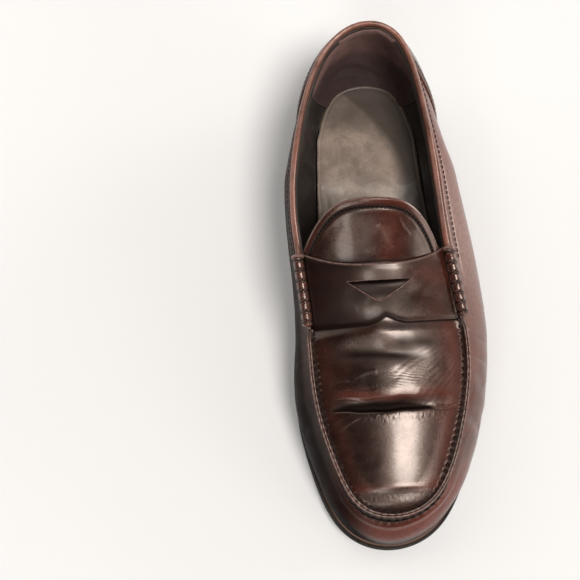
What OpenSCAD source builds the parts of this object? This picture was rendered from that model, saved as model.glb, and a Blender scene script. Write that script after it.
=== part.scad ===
// Penny loafer, left foot. +X is the lateral (outer) side, -Y the toe, +Z up.
// The origin is on the ground, under the middle of the shoe's box.
// Leather layers are measured inwards, along the normal of one wall surface.

/* [Sole] */
// Length of the sole from heel to toe
sole_length = 283.5; // [276:0.5:292]
// Width of the sole at the ball
ball_width = 105; // [101:0.5:109]
// Height of the heel under the sole
heel_height = 18; // [15:0.5:20]
// Thickness of the outsole
outsole_t = 4; // [3:0.25:5]
// Thickness of the midsole
midsole_t = 2.5; // [2:0.25:3]
// Height of the tip of the sole over the ground
toe_spring = 9; // [6:0.5:10]
// How far the sole stands out past the upper
sole_margin = 3; // [2.5:0.25:3.5]

/* [Upper] */
// Thickness of the outer leather
leather_t = 1.4; // [1.2:0.1:1.5]
// Thickness of the lining leather
lining_t = 0.8; // [0.6:0.1:0.9]
// Height of the raised moccasin seam
seam_lip = 3; // [2:0.25:3.5]
// Radius of the rolled binding on the topline
binding_r = 1.6; // [1.3:0.1:1.8]
// Radius of the rolls at the ends of the strap
roll_r = 2.4; // [2:0.1:2.7]
// Length of the slit in the strap
slit_length = 34; // [30:1:36]
// Depth of the slit in the strap
slit_depth = 10; // [8:0.5:11]

/* [Thread] */
// Pitch of the moccasin seam's stitches
seam_pitch = 3.8; // [3.5:0.1:6]
// Radius of the moccasin seam's thread
seam_thread_r = 0.45; // [0.35:0.05:0.5]
// Pitch of the machine stitches
fine_pitch = 4; // [3.5:0.5:5]
// Radius of the machine thread
fine_thread_r = 0.28; // [0.2:0.02:0.3]

/* [Hidden] */

// The wall's stations run round the shoe: 0 heel, 4 and 14 the strap's rear corners,
// 5 and 13 its front corners, 9 toe. 1 to 8 are on the lateral side, 10 to 17 on the medial.
STATIONS = 18;
TOE = 9;
// The tables of points below are for this size of sole, and are stretched to the one asked for.
TABLE_WIDTH = 105;
TABLE_LENGTH = 283.5;
kx = ball_width / TABLE_WIDTH;
ky = sole_length / TABLE_LENGTH;
sole_points = [[-7.5, 139.5], [16, 130], [26, 103.5], [29.5, 63.5], [39.5, 17.5], [50.5, -20.5],
               [53.5, -56.5], [45, -95.5], [26, -131.5], [-3.5, -144], [-30, -131.5],
               [-44.5, -99.5], [-51.5, -64.5], [-48.5, -28.5], [-41.5, 11.5], [-39.5, 61.5],
               [-41, 103.5], [-31, 130]];
bulge_points = [[-7.5, 142.5, 47], [16.5, 131, 45], [28.5, 104.5, 40], [36, 65.5, 34],
                [47.5, 17.5, 29], [55, -20.5, 25], [54, -56.5, 22], [45, -93.5, 22],
                [26.5, -125, 25], [-3.5, -138.5, 27], [-28.5, -126, 25], [-43.5, -98.5, 22],
                [-52.5, -63.5, 22], [-51.5, -28.5, 25], [-49.5, 10.5, 30], [-48.5, 61.5, 36],
                [-43.5, 104.5, 41], [-31.5, 132.5, 45]];
top_points = [[-7.5, 137.5, 80], [9.5, 130, 77.5], [20, 103.5, 71], [26.5, 61.5, 66],
              [30.5, 14.5, 67], [38.5, -24.5, 56], [40, -58.5, 48.5], [31.5, -96.5, 43],
              [17.5, -120, 40.5], [-2.5, -127, 39.5], [-21, -120, 40.5],
              [-33, -97.5, 43], [-42, -64.5, 47.5], [-45, -28.5, 55],
              [-50, 11.5, 67.5], [-51.5, 54.5, 67], [-41.5, 104.5, 72.5], [-25.5, 130.5, 77.5]];

// Underside of the sole, as [y, z]: flat over the heel, then the waist, ball and toe.
heel_breast = 70;
tread_points = [[146, heel_height], [heel_breast, heel_height],
                [60, heel_height - 0.6], [40, heel_height * 0.72],
                [5, heel_height * 0.28], [-30, 0.7], [-48, 0], [-72, 0], [-92, 0.9],
                [-115, toe_spring * 0.38], [-146, toe_spring * 1.05]];

// Layers under the foot, counted up from the top of the midsole.
cork_t = 1.5;
insole_t = 2;
sock_t = 1;
heel_pad_t = 1.5;
heel_pad_front = 62;

// Layers of the wall, counted inwards from its outer face.
ply_gap = 0.2;
stiff_t = 1.0;
foam_t = 1.0;
stiff_d = leather_t + ply_gap;
lining_d = stiff_d + stiff_t + ply_gap;
grip_d = lining_d + lining_t + ply_gap;
grip_t = 0.8;
plug_lining_t = 0.7;

// Crown of the instep over the seam, as [station from the toe, height].
crown_points = [[0, 0], [0.5, 1.0], [1, 2.8], [2, 6.2], [3, 8.2], [4, 9.5],
                [4.5, 12], [5, 14.5], [5.5, 16]];

// Tongue: a crowned flap that rises from the strap's rear edge.
tongue_mid = -10.5;
tongue_half = 36;
tongue_root_y = 2.5;
tongue_tip_y = 32.5;
tongue_root_z = 77;
tongue_slope = 0.60;
tongue_arch = 0.0092;

fn_round = 24;

// ---------- curves ----------

function cubic(a, b, c, d, t) =
    0.5 * (2 * b + (c - a) * t + (2 * a - 5 * b + 4 * c - d) * t * t
           + (3 * b - a - 3 * c + d) * t * t * t);

// A closed smooth curve through the points p, at station u.
function on_loop(p, u) =
    let (n = len(p), w = u + n, i = floor(w), t = w - i)
    cubic(p[(i - 1) % n], p[i % n], p[(i + 1) % n], p[(i + 2) % n], t);

// The slope at point i of a table: level where the values turn or stay the same.
function slope(p, i) =
    let (a = max(i - 1, 0), b = min(i + 1, len(p) - 1))
    (p[i][1] - p[a][1]) * (p[b][1] - p[i][1]) <= 0 && a < i && i < b ? 0
        : (p[b][1] - p[a][1]) / (p[b][0] - p[a][0]);

function segment(p, x, i = 0) =
    i >= len(p) - 2 || (x - p[i + 1][0]) * (p[1][0] - p[0][0]) <= 0 ? i
                                                                 : segment(p, x, i + 1);

// A smooth value at x from a table of [x, value].
function smooth(p, x) =
    let (i = segment(p, x), h = p[i + 1][0] - p[i][0], t = (x - p[i][0]) / h)
    (1 + 2 * t) * pow(1 - t, 2) * p[i][1] + t * pow(1 - t, 2) * h * slope(p, i)
    + t * t * (3 - 2 * t) * p[i + 1][1] + t * t * (t - 1) * h * slope(p, i + 1);

function ease(a, b, x) = let (t = min(1, max(0, (x - a) / (b - a)))) t * t * (3 - 2 * t);
function unit(v) = v / norm(v);
function scaled(p) = len(p) == 3 ? [p[0] * kx, p[1] * ky, p[2]] : [p[0] * kx, p[1] * ky];

// ---------- the sole ----------

function tread_z(y) = smooth(tread_points, y / ky);
function feather_z(y) = tread_z(y) + outsole_t + midsole_t;
function sole_at(u) = scaled(on_loop(sole_points, u));

// The sole's outline moved inwards by d.
function inset_at(u, d) =
    let (t = unit(sole_at(u + 0.05) - sole_at(u - 0.05)), p = sole_at(u))
    [p[0] + t[1] * d, p[1] - t[0] * d];

outline_steps = 90;
// tuck is how much further in the outline runs round the back of the heel.
function tuck_share(u) = let (a = min(u, STATIONS - u)) a < 2.4 ? cos(90 * a / 2.4) : 0;
function outline(d, tuck = 0) =
    [for (k = [0:outline_steps - 1])
        let (u = k * STATIONS / outline_steps) inset_at(u, d + tuck * tuck_share(u))];

// A band between two heights over the tread, seen from the side and run across.
// pad is the share of the heel pad's thickness that is added to each height.
module band(low, high, from = 150, to = -150, low_pad = 0, high_pad = 0) {
    ys = concat([from], [for (y = [150:-6:-150]) if (y < from && y > to) y], [to]);
    under = [for (y = ys) [y, tread_z(y) + low + low_pad * pad_rise(y)]];
    over = [for (k = [len(ys) - 1:-1:0])
        [ys[k], tread_z(ys[k]) + high + high_pad * pad_rise(ys[k])]];
    rotate([90, 0, 90])
        linear_extrude(height = 160, center = true) polygon(concat(under, over));
}

module plate(inset, low, high, from = 150, to = -150) {
    intersection() {
        linear_extrude(height = 90) polygon(outline(inset));
        band(low, high, from, to);
    }
}

module behind_breast() {
    translate([-80, heel_breast, -1]) cube([160, 100, 100]);
}

module lift(inset, low, high) {
    intersection() {
        translate([0, 0, low]) linear_extrude(height = high - low) polygon(outline(inset));
        behind_breast();
    }
}

nail_r = 0.9;
nail_places = [[-24.5, 83.5], [9.5, 83.5], [-30.5, 103.5], [15.5, 103.5], [-22.5, 123.5],
               [7.5, 123.5]];
module nail_holes() {
    for (p = nail_places)
        translate([p[0] * kx, p[1] * ky, -1]) cylinder(h = 60, r = nail_r + 0.02, $fn = fn_round);
}

top_piece_t = heel_height / 3;
lift_t = heel_height / 3;
seam_channel = 7;
channel_t = 1.2;
channel_half = 0.8;
channel_from = 62;

module sole_channel() {
    difference() {
        plate(seam_channel - channel_half, -0.5, channel_t, channel_from);
        translate([0, 0, -1])
            linear_extrude(height = 90) polygon(outline(seam_channel + channel_half));
    }
}

module outsole() {
    color("#1d1a19") difference() {
        plate(0, 0, outsole_t);
        nail_holes();
        sole_channel();
    }
}

module midsole() {
    color("#262120") difference() {
        plate(0.6, outsole_t, outsole_t + midsole_t);
        nail_holes();
    }
}

module heel_lift_upper() {
    color("#241f1d") difference() {
        lift(0.4, heel_height - lift_t, heel_height);
        nail_holes();
    }
}

module heel_lift_lower() {
    color("#241f1d") difference() {
        lift(0.8, top_piece_t, heel_height - lift_t);
        nail_holes();
    }
}

module heel_top_piece() {
    color("#151414") difference() {
        lift(1.1, 0, top_piece_t);
        nail_holes();
    }
}

module heel_nails() {
    nail_base = 1.5;
    nail_top = heel_height + outsole_t + midsole_t - 0.5;
    color("#b0a080") for (p = nail_places)
        translate([p[0] * kx, p[1] * ky, nail_base])
            cylinder(h = nail_top - nail_base, r = nail_r, $fn = fn_round);
}

// A stitch is this share of its pitch, the rest is the gap to the next one.
stitch_share = 0.7;

module sole_thread() {
    first = 3.4;
    last = STATIONS - first;
    count = 72;
    function end_at(k) =
        let (p = inset_at(first + (last - first) * k / count, seam_channel))
        [p[0], p[1], tread_z(p[1]) + channel_t / 2];
    color("#3a332e") for (k = [0:count - 1])
        rod(end_at(k), end_at(k + stitch_share), 0.4);
}

shank_w = 14;
shank_t = 1.2;
shank_from = 100;
shank_to = -20;
shank_x = -6.5;
sole_t = outsole_t + midsole_t;

module shank_space(gap) {
    intersection() {
        band(sole_t - gap, sole_t + shank_t + gap, shank_from + gap, shank_to - gap);
        translate([shank_x - shank_w / 2 - gap, -100, 0])
            cube([shank_w + 2 * gap, 300, 60]);
    }
}

module shank() {
    color("#8c8f94") shank_space(0);
}

cork_inset = 16;
module cork_filler() {
    color("#b98a57") difference() {
        plate(cork_inset, sole_t, sole_t + cork_t);
        shank_space(0.1);
    }
}

foot_inset = sole_margin + lining_d + lining_t + 0.3;
heel_tuck = 10;
insole_low = sole_t + cork_t;
module insole_board() {
    color("#a98d6a") plate(foot_inset, insole_low, insole_low + insole_t);
}

// The heel pad's thickness at y: nothing in front, full under the heel.
function pad_rise(y) = heel_pad_t * ease(heel_pad_front - 12, heel_pad_front + 8, y);
pad_low = insole_low + insole_t;
pad_edge = 0.02;
sock_low = pad_low + 0.05;

module heel_pad() {
    color("#cfc6b4") intersection() {
        linear_extrude(height = 90) polygon(outline(foot_inset + 2, heel_tuck));
        band(pad_low, pad_low + pad_edge, 150, heel_pad_front - 9, 0, 1);
    }
}

module sock_liner() {
    color("#6b5a4e") intersection() {
        linear_extrude(height = 90) polygon(outline(foot_inset, heel_tuck));
        band(sock_low, sock_low + sock_t, 150, -150, 1, 1);
    }
}

// ---------- the wall of the upper ----------

function foot_at(u) =
    let (p = inset_at(u, sole_margin)) [p[0], p[1], feather_z(p[1])];
function bulge_at(u) = scaled(on_loop(bulge_points, u));
function top_at(u) = scaled(on_loop(top_points, u));
function bulge_share(u) =
    let (a = foot_at(u)[2], b = bulge_at(u)[2], c = top_at(u)[2]) (b - a) / (c - a);

// The wall's outer face: station u round the shoe, v from 0 at the sole to 1 at the top.
function wall_at(u, v) =
    let (m = bulge_share(u), a = foot_at(u), b = bulge_at(u), c = top_at(u))
    a * (v - m) * (v - 1) / m + b * v * (v - 1) / (m * (m - 1)) + c * v * (v - m) / (1 - m);

function wall_in(u, v) =
    let (e = 0.02, lo = max(v - e, 0), hi = min(v + e, 1))
    unit(cross(wall_at(u + e, v) - wall_at(u - e, v), wall_at(u, hi) - wall_at(u, lo)));

function ply_at(u, v, d) = wall_at(u, v) + wall_in(u, v) * d;

// A closed solid between two grids of points, each a list of equal rows.
// The solid lies on the side of the first grid that cross(row step, column step) points to.
module grid_solid(outer, inner) {
    rows = len(outer);
    cols = len(outer[0]);
    count = rows * cols;
    spans = rows - 1;
    function at(i, j, side) = side * count + i * cols + j;
    function quad(a, b, c, d) = [[a, b, c], [a, c, d]];
    faces = concat(
        [for (i = [0:spans - 1], j = [0:cols - 2], t = quad(
            at(i, j, 0), at(i + 1, j, 0), at(i + 1, j + 1, 0), at(i, j + 1, 0))) t],
        [for (i = [0:spans - 1], j = [0:cols - 2], t = quad(
            at(i, j, 1), at(i, j + 1, 1), at(i + 1, j + 1, 1), at(i + 1, j, 1))) t],
        [for (i = [0:spans - 1], t = quad(
            at(i, 0, 0), at(i, 0, 1), at(i + 1, 0, 1), at(i + 1, 0, 0))) t],
        [for (i = [0:spans - 1], t = quad(
            at(i, cols - 1, 0), at(i + 1, cols - 1, 0), at(i + 1, cols - 1, 1),
            at(i, cols - 1, 1))) t],
        [for (j = [0:cols - 2], t = quad(
            at(0, j, 0), at(0, j + 1, 0), at(0, j + 1, 1), at(0, j, 1))) t],
        [for (j = [0:cols - 2], t = quad(
            at(rows - 1, j, 0), at(rows - 1, j, 1), at(rows - 1, j + 1, 1),
            at(rows - 1, j + 1, 0))) t]);
    polyhedron(points = concat([for (r = outer, p = r) p], [for (r = inner, p = r) p]),
               faces = faces, convexity = 8);
}

// All the layers share one grid of stations and levels, so that they lie flat together.
station_step = 0.25;
levels = [0, 0.1, 0.2, 0.3, 0.4, 0.5, 0.6, 0.7, 0.8, 0.88, 0.94, 1];

// A layer of the wall from station u0 to u1 and from level j0 to j1.
module ply(u0, u1, d, t, j0, j1) {
    us = [for (u = [u0:station_step:u1]) u];
    grid_solid([for (u = us) [for (j = [j0:j1]) ply_at(u, levels[j], d)]],
               [for (u = us) [for (j = [j0:j1]) ply_at(u, levels[j], d + t)]]);
}

// A round tube along a list of points.
module tube(path, r, sides = 8) {
    n = len(path);
    function tangent(i) = unit(path[min(i + 1, n - 1)] - path[max(i - 1, 0)]);
    rings = [for (i = [0:n - 1])
        let (t = tangent(i), s = unit(cross(t, [0, 0, 1])), w = cross(s, t))
        [for (k = [0:sides - 1])
            path[i] + r * (cos(360 * k / sides) * s + sin(360 * k / sides) * w)]];
    function at(i, k) = i * sides + k % sides;
    faces = concat(
        [for (i = [0:n - 2], k = [0:sides - 1],
              t = [[at(i, k), at(i + 1, k + 1), at(i + 1, k)],
                   [at(i, k), at(i, k + 1), at(i + 1, k + 1)]]) t],
        [for (k = [1:sides - 2]) [at(0, 0), at(0, k + 1), at(0, k)]],
        [for (k = [1:sides - 2]) [at(n - 1, 0), at(n - 1, k), at(n - 1, k + 1)]]);
    polyhedron(points = [for (r = rings, p = r) p], faces = faces, convexity = 8);
}

module rod(a, b, r) {
    d = b - a;
    translate(a)
        rotate([0, acos(d[2] / norm(d)), atan2(d[1], d[0])])
            cylinder(h = norm(d), r = r, $fn = 16);
}

// The raised lip of the moccasin seam fades out under the strap.
lip_low = 0.4;
function lip_h(u) =
    lip_low + (seam_lip - lip_low) * ease(4.97, 5.2, u) * ease(4.97, 5.2, STATIONS - u);
function lip_lean(u) = unit([0, 0, 1] - 0.35 * wall_in(u, 1));

back_seam = 0.02;
module moccasin_wall() {
    us = concat([back_seam], [for (u = [station_step:station_step:STATIONS - station_step]) u],
                [STATIONS - back_seam]);
    function lip(u, d) = ply_at(u, 1, d) + lip_lean(u) * lip_h(u);
    color("#4b211a") grid_solid(
        [for (u = us) concat([for (v = levels) ply_at(u, v, 0)], [lip(u, 0)])],
        [for (u = us) concat([for (v = levels) ply_at(u, v, leather_t)],
                             [lip(u, leather_t - 0.1)])]);
}

cover_low = 2.7;
cover_high = 1.5;
cover_foot = 0.04;
cover_top = 0.96;
cover_t = 1.0;
cover_gap = 0.35;
function cover_reach(v) = cover_low + (cover_high - cover_low) * pow(v, 1.5);
module heel_cover() {
    steps = 22;
    rise = 9;
    vs = [for (j = [0:rise]) cover_foot + (cover_top - cover_foot) * j / rise];
    function row(i, d) = [for (v = vs) ply_at(cover_reach(v) * (2 * i / steps - 1), v, d)];
    color("#45201a") grid_solid([for (i = [0:steps]) row(i, -cover_gap - cover_t)],
                                [for (i = [0:steps]) row(i, -cover_gap)]);
}

module heel_counter() {
    color("#c9b79a") ply(-2.5, 2.5, stiff_d, stiff_t, 1, 7);
}

module toe_puff() {
    color("#c9b79a") ply(7.25, 10.75, stiff_d, stiff_t, 1, 9);
}

module vamp_lining() {
    color("#6a5344") ply(5, 13, lining_d, lining_t, 1, 10);
}

module quarter_lining() {
    color("#3d3029") ply(-4.75, 4.75, lining_d, lining_t, 1, 10);
}

module heel_grip() {
    color("#4a3535") ply(-1.75, 1.75, grip_d, grip_t, 3, 10);
}

module collar_foam() {
    color("#d8d2c4") ply(-3.75, 3.75, stiff_d, foam_t, 8, 9);
}

tape_t = 0.4;
module topline_tape() {
    color("#e4e0d6") ply(-3.75, 3.75, stiff_d, tape_t, 9, 10);
}

binding_lift = lip_low + 0.5;
module topline_binding() {
    path = [for (u = [-4:station_step:4])
        ply_at(u, 1, leather_t / 2) + [0, 0, binding_r + binding_lift]];
    color("#6d3024") tube(path, binding_r);
}

// ---------- the top of the upper ----------

// The instep's surface: w stations back from the toe, t from -1 medial to 1 lateral.
function instep_at(w, t, lift = 0) =
    let (l = ply_at(TOE - w, 1, stiff_d), m = ply_at(TOE + w, 1, stiff_d))
    (l + m) / 2 + t * (l - m) / 2 + [0, 0, smooth(crown_points, w) * (1 - t * t) + lift];

plug_steps = 22;
plug_cols = 12;
plug_front = 0.12;
plug_back = 4.5;
lip_t = 1.2;
// About half of the plug's width, w stations back from the toe.
function plug_half(w) = 8 + 34 * min(1, w / 2);
module plug() {
    reach = plug_back - plug_front;
    ws = [for (i = [0:plug_steps]) plug_front + reach * pow(i / plug_steps, 1.25)];
    ts = [for (j = [0:plug_cols]) sin(90 * (2 * j / plug_cols - 1))];
    function lip(w, side, depth) =
        let (u = TOE - side * w)
        instep_at(w, side * (1 - depth / plug_half(w))) + lip_lean(u) * lip_h(u);
    function row(w, depth, shrink, lift) =
        concat([lip(w, -1, depth)], [for (t = ts) instep_at(w, t * shrink, lift)],
               [lip(w, 1, depth)]);
    color("#4d231b") grid_solid([for (w = ws) row(w, 0, 1, 0)],
                                [for (w = ws) row(w, lip_t, 0.985, -leather_t)]);
}

module plug_lining() {
    steps = 16;
    cols = 10;
    front = 0.5;
    back = 4.4;
    ws = [for (i = [0:steps]) front + (back - front) * i / steps];
    ts = [for (j = [0:cols]) 0.9 * sin(90 * (2 * j / cols - 1))];
    color("#6a5344") grid_solid(
        [for (w = ws) [for (t = ts) instep_at(w, t, -stiff_d)]],
        [for (w = ws) [for (t = ts) instep_at(w, t, -stiff_d - plug_lining_t)]]);
}

strap_t = 1.5;
strap_gap = 0.3;
strap_cols = 28;
strap_rows = 7;
strap_share = 0.97;
notch_depth = 0.1125;
notch_half = 0.28;
// The strap's front and rear edges, in stations back from the toe, at t across the instep.
function strap_front(t) =
    3.96 + 0.04 * t * t + notch_depth * pow(max(0, 1 - abs(t) / notch_half), 1.7);
function strap_back(t) = 4.7 + 0.25 * pow(abs(t), 2.5);

// The slit is a shallow V under a nearly straight rear edge.
slit_w = 4.53;
slit_t = -0.04;
slit_skew = 0.6;
slit_nose = 1.5;
module slit() {
    x = instep_at(slit_w, slit_t)[0];
    y = instep_at(slit_w, 0)[1];
    half = slit_length * kx / 2;
    translate([0, 0, 40]) linear_extrude(height = 60)
        polygon([[x - half, y - slit_skew], [x + half, y + slit_skew],
                 [x + slit_nose, y - slit_depth], [x - slit_nose, y - slit_depth]]);
}

module saddle_strap() {
    ts = [for (j = [0:strap_cols]) sin(78 * (2 * j / strap_cols - 1)) / sin(78)];
    function point(t, i, lift) =
        let (a = strap_front(t), b = strap_back(t))
        instep_at(a + (b - a) * i / strap_rows, t * strap_share, lift);
    function face(lift) = [for (i = [strap_rows:-1:0]) [for (t = ts) point(t, i, lift)]];
    color("#4a211a") difference() {
        grid_solid(face(strap_gap), face(strap_gap + strap_t));
        slit();
    }
}

roll_steps = 12;
roll_from = 4.02;
roll_span = 0.9;
roll_lift = 1.6;
// The middle of a roll, w stations back from the toe on one side.
function roll_at(side, w) = ply_at(TOE + side * w, 1, -0.1) + [0, 0, roll_lift + roll_r];
function roll_path(side) =
    [for (k = [0:roll_steps]) roll_at(side, roll_from + roll_span * k / roll_steps)];

module strap_roll_lateral() {
    color("#5a2a20") tube(roll_path(-1), roll_r, 10);
}

module strap_roll_medial() {
    color("#5a2a20") tube(roll_path(1), roll_r, 10);
}

// ---------- the tongue ----------

function tongue_z(x, y) =
    tongue_root_z + tongue_slope * (y - tongue_root_y) - tongue_arch * pow(x - tongue_mid, 2);
function tongue_back(t) = tongue_tip_y - 21 * pow(abs(t), 3.5);
function tongue_front(t) = tongue_root_y + 1 + 8 * t * t;
function tongue_at(s, t, lift) =
    let (x = tongue_mid + tongue_half * t,
         y = tongue_front(t) + (tongue_back(t) - tongue_front(t)) * s)
    [x * kx, y * ky, tongue_z(x, y) + lift];

tongue_rows = 8;
tongue_cols = 16;
module tongue_ply(low, high, margin) {
    share = 1 - margin;
    ts = [for (j = [0:tongue_cols]) share * sin(80 * (2 * j / tongue_cols - 1)) / sin(80)];
    ss = [for (i = [0:tongue_rows]) share * i / tongue_rows];
    grid_solid([for (s = ss) [for (t = ts) tongue_at(s, t, high)]],
               [for (s = ss) [for (t = ts) tongue_at(s, t, low)]]);
}

tongue_t = 1.5;
tongue_lining_t = 0.9;
module tongue() {
    color("#4d231b") tongue_ply(-tongue_t, 0, 0);
}

module tongue_lining() {
    top = -tongue_t - 0.1;
    color("#6a5344") tongue_ply(top - tongue_lining_t, top, 0.04);
}

module tongue_thread() {
    count = 30;
    reach = 0.9;
    function end_at(row, k) =
        let (t = reach * (2 * k / count - 1)) tongue_at(row - 0.1 * pow(abs(t), 3), t, 0.1);
    color("#2a1713") for (row = [0.80, 0.88], k = [0:count - 1])
        rod(end_at(row, k), end_at(row, k + stitch_share), fine_thread_r);
}

// ---------- thread ----------

// Lengths of the seams in mm, from which the number of stitches follows.
seam_run = 270;
topline_run = 90;
cover_run = 48;

seam_span = 4.0;
module seam_thread() {
    count = round(seam_run * ky / seam_pitch);
    function end_at(k) =
        ply_at(TOE - seam_span + 2 * seam_span * (k + 0.15) / count, 1, -0.2) + [0, 0, 0.8];
    color("#2a1713") for (k = [0:count - 1])
        rod(end_at(k), end_at(k + stitch_share), seam_thread_r);
}

// Two threads lie side by side in each wrap.
module roll_thread(side) {
    wraps = 7;
    wrap_r = 0.4;
    wrap_span = 0.78;
    pair_gap = 0.035;
    color("#2a1713") for (k = [0:wraps - 1], pair = [0, 1]) {
        w = roll_from + 0.06 + wrap_span * k / (wraps - 1) + pair_gap * pair;
        a = roll_at(side, w - 0.02);
        b = roll_at(side, w + 0.02);
        d = unit(b - a);
        translate(a)
            rotate([0, acos(d[2]), atan2(d[1], d[0])])
                rotate_extrude($fn = fn_round)
                    translate([roll_r + 0.1, 0]) circle(r = wrap_r, $fn = 16);
    }
}

module roll_thread_lateral() { roll_thread(-1); }
module roll_thread_medial() { roll_thread(1); }

module topline_thread() {
    from = 1.9;
    to = 4.3;
    level = 0.905;
    count = round(topline_run * ky / fine_pitch);
    function end_at(side, k) = ply_at(side * (from + (to - from) * k / count), level, -0.15);
    color("#2a1713") for (side = [-1, 1], k = [0:count - 1])
        rod(end_at(side, k), end_at(side, k + stitch_share), fine_thread_r);
}

module heel_cover_thread() {
    count = round(cover_run / fine_pitch);
    low = 0.08;
    high = 0.84;
    function end_at(side, k) =
        let (v = low + (high - low) * k / count)
        ply_at(side * (cover_reach(v) - 0.08), v, -cover_gap - cover_t - 0.15);
    color("#2a1713") for (side = [-1, 1], k = [0:count - 1])
        rod(end_at(side, k), end_at(side, k + stitch_share), fine_thread_r);
}

outsole();
midsole();
heel_lift_upper();
heel_lift_lower();
heel_top_piece();
heel_nails();
sole_thread();
shank();
cork_filler();
insole_board();
heel_pad();
sock_liner();
moccasin_wall();
plug();
heel_cover();
toe_puff();
heel_counter();
vamp_lining();
plug_lining();
quarter_lining();
heel_grip();
collar_foam();
topline_tape();
topline_binding();
saddle_strap();
strap_roll_lateral();
strap_roll_medial();
tongue();
tongue_lining();
tongue_thread();
seam_thread();
roll_thread_lateral();
roll_thread_medial();
topline_thread();
heel_cover_thread();
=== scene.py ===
"""The looks of a penny loafer for the left foot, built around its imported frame.

Shapes are worked out in millimetres in the frame's own axes: -Y is the toe, +X the outer
side of the foot, +Z up. They become metres when a mesh is made.
"""
import math

import bpy
import numpy as np
from mathutils import Matrix, Vector


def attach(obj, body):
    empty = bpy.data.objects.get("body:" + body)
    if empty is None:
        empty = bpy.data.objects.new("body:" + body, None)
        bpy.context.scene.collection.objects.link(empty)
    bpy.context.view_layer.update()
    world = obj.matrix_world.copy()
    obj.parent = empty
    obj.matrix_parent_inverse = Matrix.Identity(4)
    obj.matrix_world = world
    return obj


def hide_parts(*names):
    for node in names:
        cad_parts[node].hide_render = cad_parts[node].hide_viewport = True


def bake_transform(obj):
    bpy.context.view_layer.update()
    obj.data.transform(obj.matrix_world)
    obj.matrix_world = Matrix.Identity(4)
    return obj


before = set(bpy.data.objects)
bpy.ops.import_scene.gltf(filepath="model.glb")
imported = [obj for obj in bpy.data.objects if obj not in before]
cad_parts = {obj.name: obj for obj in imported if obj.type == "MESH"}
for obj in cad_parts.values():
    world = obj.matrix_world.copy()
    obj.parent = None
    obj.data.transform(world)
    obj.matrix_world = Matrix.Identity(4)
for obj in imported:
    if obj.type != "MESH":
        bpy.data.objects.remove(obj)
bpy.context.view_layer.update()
scene = bpy.context.scene
MM = 0.001

# ---------------------------------------------------------------- the shoe's own curves
# Stations run round the shoe: 0 at the heel, 9 at the toe, lateral side first.
STATIONS = 18
TOE = 9.0
SOLE_POINTS = [
    [-7.5, 139.5], [16, 130], [26, 103.5], [29.5, 63.5], [39.5, 17.5], [50.5, -20.5],
    [53.5, -56.5], [45, -95.5], [26, -131.5], [-3.5, -144], [-30, -131.5],
    [-44.5, -99.5], [-51.5, -64.5], [-48.5, -28.5], [-41.5, 11.5], [-39.5, 61.5],
    [-41, 103.5], [-31, 130],
]
BULGE_POINTS = [
    [-7.5, 142.5, 47], [16.5, 131, 45], [28.5, 104.5, 40], [36, 65.5, 34],
    [47.5, 17.5, 29], [55, -20.5, 25], [54, -56.5, 22], [45, -93.5, 22],
    [26.5, -125, 25], [-3.5, -138.5, 27], [-28.5, -126, 25], [-43.5, -98.5, 22],
    [-52.5, -63.5, 22], [-51.5, -28.5, 25], [-49.5, 10.5, 30], [-48.5, 61.5, 36],
    [-43.5, 104.5, 41], [-31.5, 132.5, 45],
]
TOP_POINTS = [
    [-7.5, 137.5, 80], [9.5, 130, 77.5], [20, 103.5, 71], [26.5, 61.5, 66],
    [30.5, 14.5, 67], [38.5, -24.5, 56], [40, -58.5, 48.5], [31.5, -96.5, 43],
    [17.5, -120, 40.5], [-2.5, -127, 39.5], [-21, -120, 40.5],
    [-33, -97.5, 43], [-42, -64.5, 47.5], [-45, -28.5, 55],
    [-50, 11.5, 67.5], [-51.5, 54.5, 67], [-41.5, 104.5, 72.5], [-25.5, 130.5, 77.5],
]
HEEL_HEIGHT = 18
HEEL_BREAST = 70
TREAD = [
    [-146, 9.45], [-115, 3.42], [-92, 0.9], [-72, 0], [-48, 0], [-30, 0.7], [5, 5.04],
    [40, 12.96], [60, 17.4], [70, 18], [146, 18],
]
# Crown of the instep over the seam: stations back from the toe, height.
CROWN = [
    [0, 0], [0.5, 1.0], [1, 2.8], [2, 6.2], [3, 8.2], [4, 9.5], [4.5, 12], [5, 14.5], [5.5, 16],
]
OUTSOLE_T = 4.0
MIDSOLE_T = 2.5
SOLE_MARGIN = 3.0
LEATHER_T = 1.4
SOCK_UP = OUTSOLE_T + MIDSOLE_T + 4.5
SOCK_INSET = 6.9
HEEL_TUCK = 10.0
TUCK_TO = 2.4
LIP = 3.0
SEAM_PITCH = 3.8
STITCH_SHARE = 0.63
WELD_DIGITS = 4


def closed_spline(points):
    """A closed cubic spline through points one station apart: the points and their bends."""
    p = np.array(points, float)
    n = len(p)
    eye = np.eye(n)
    links = 4 * eye + np.roll(eye, 1, 0) + np.roll(eye, -1, 0)
    return p, np.linalg.solve(links, 6 * (np.roll(p, -1, 0) - 2 * p + np.roll(p, 1, 0)))


def on_loop(spline, u):
    """The point of a closed spline at station u."""
    p, bend = spline
    n = len(p)
    u = np.mod(np.asarray(u, float), n)
    i = np.floor(u).astype(int) % n
    j = (i + 1) % n
    t = (u - np.floor(u))[..., None]
    a = 1 - t
    return a * p[i] + t * p[j] + ((a**3 - a) * bend[i] + (t**3 - t) * bend[j]) / 6


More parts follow.
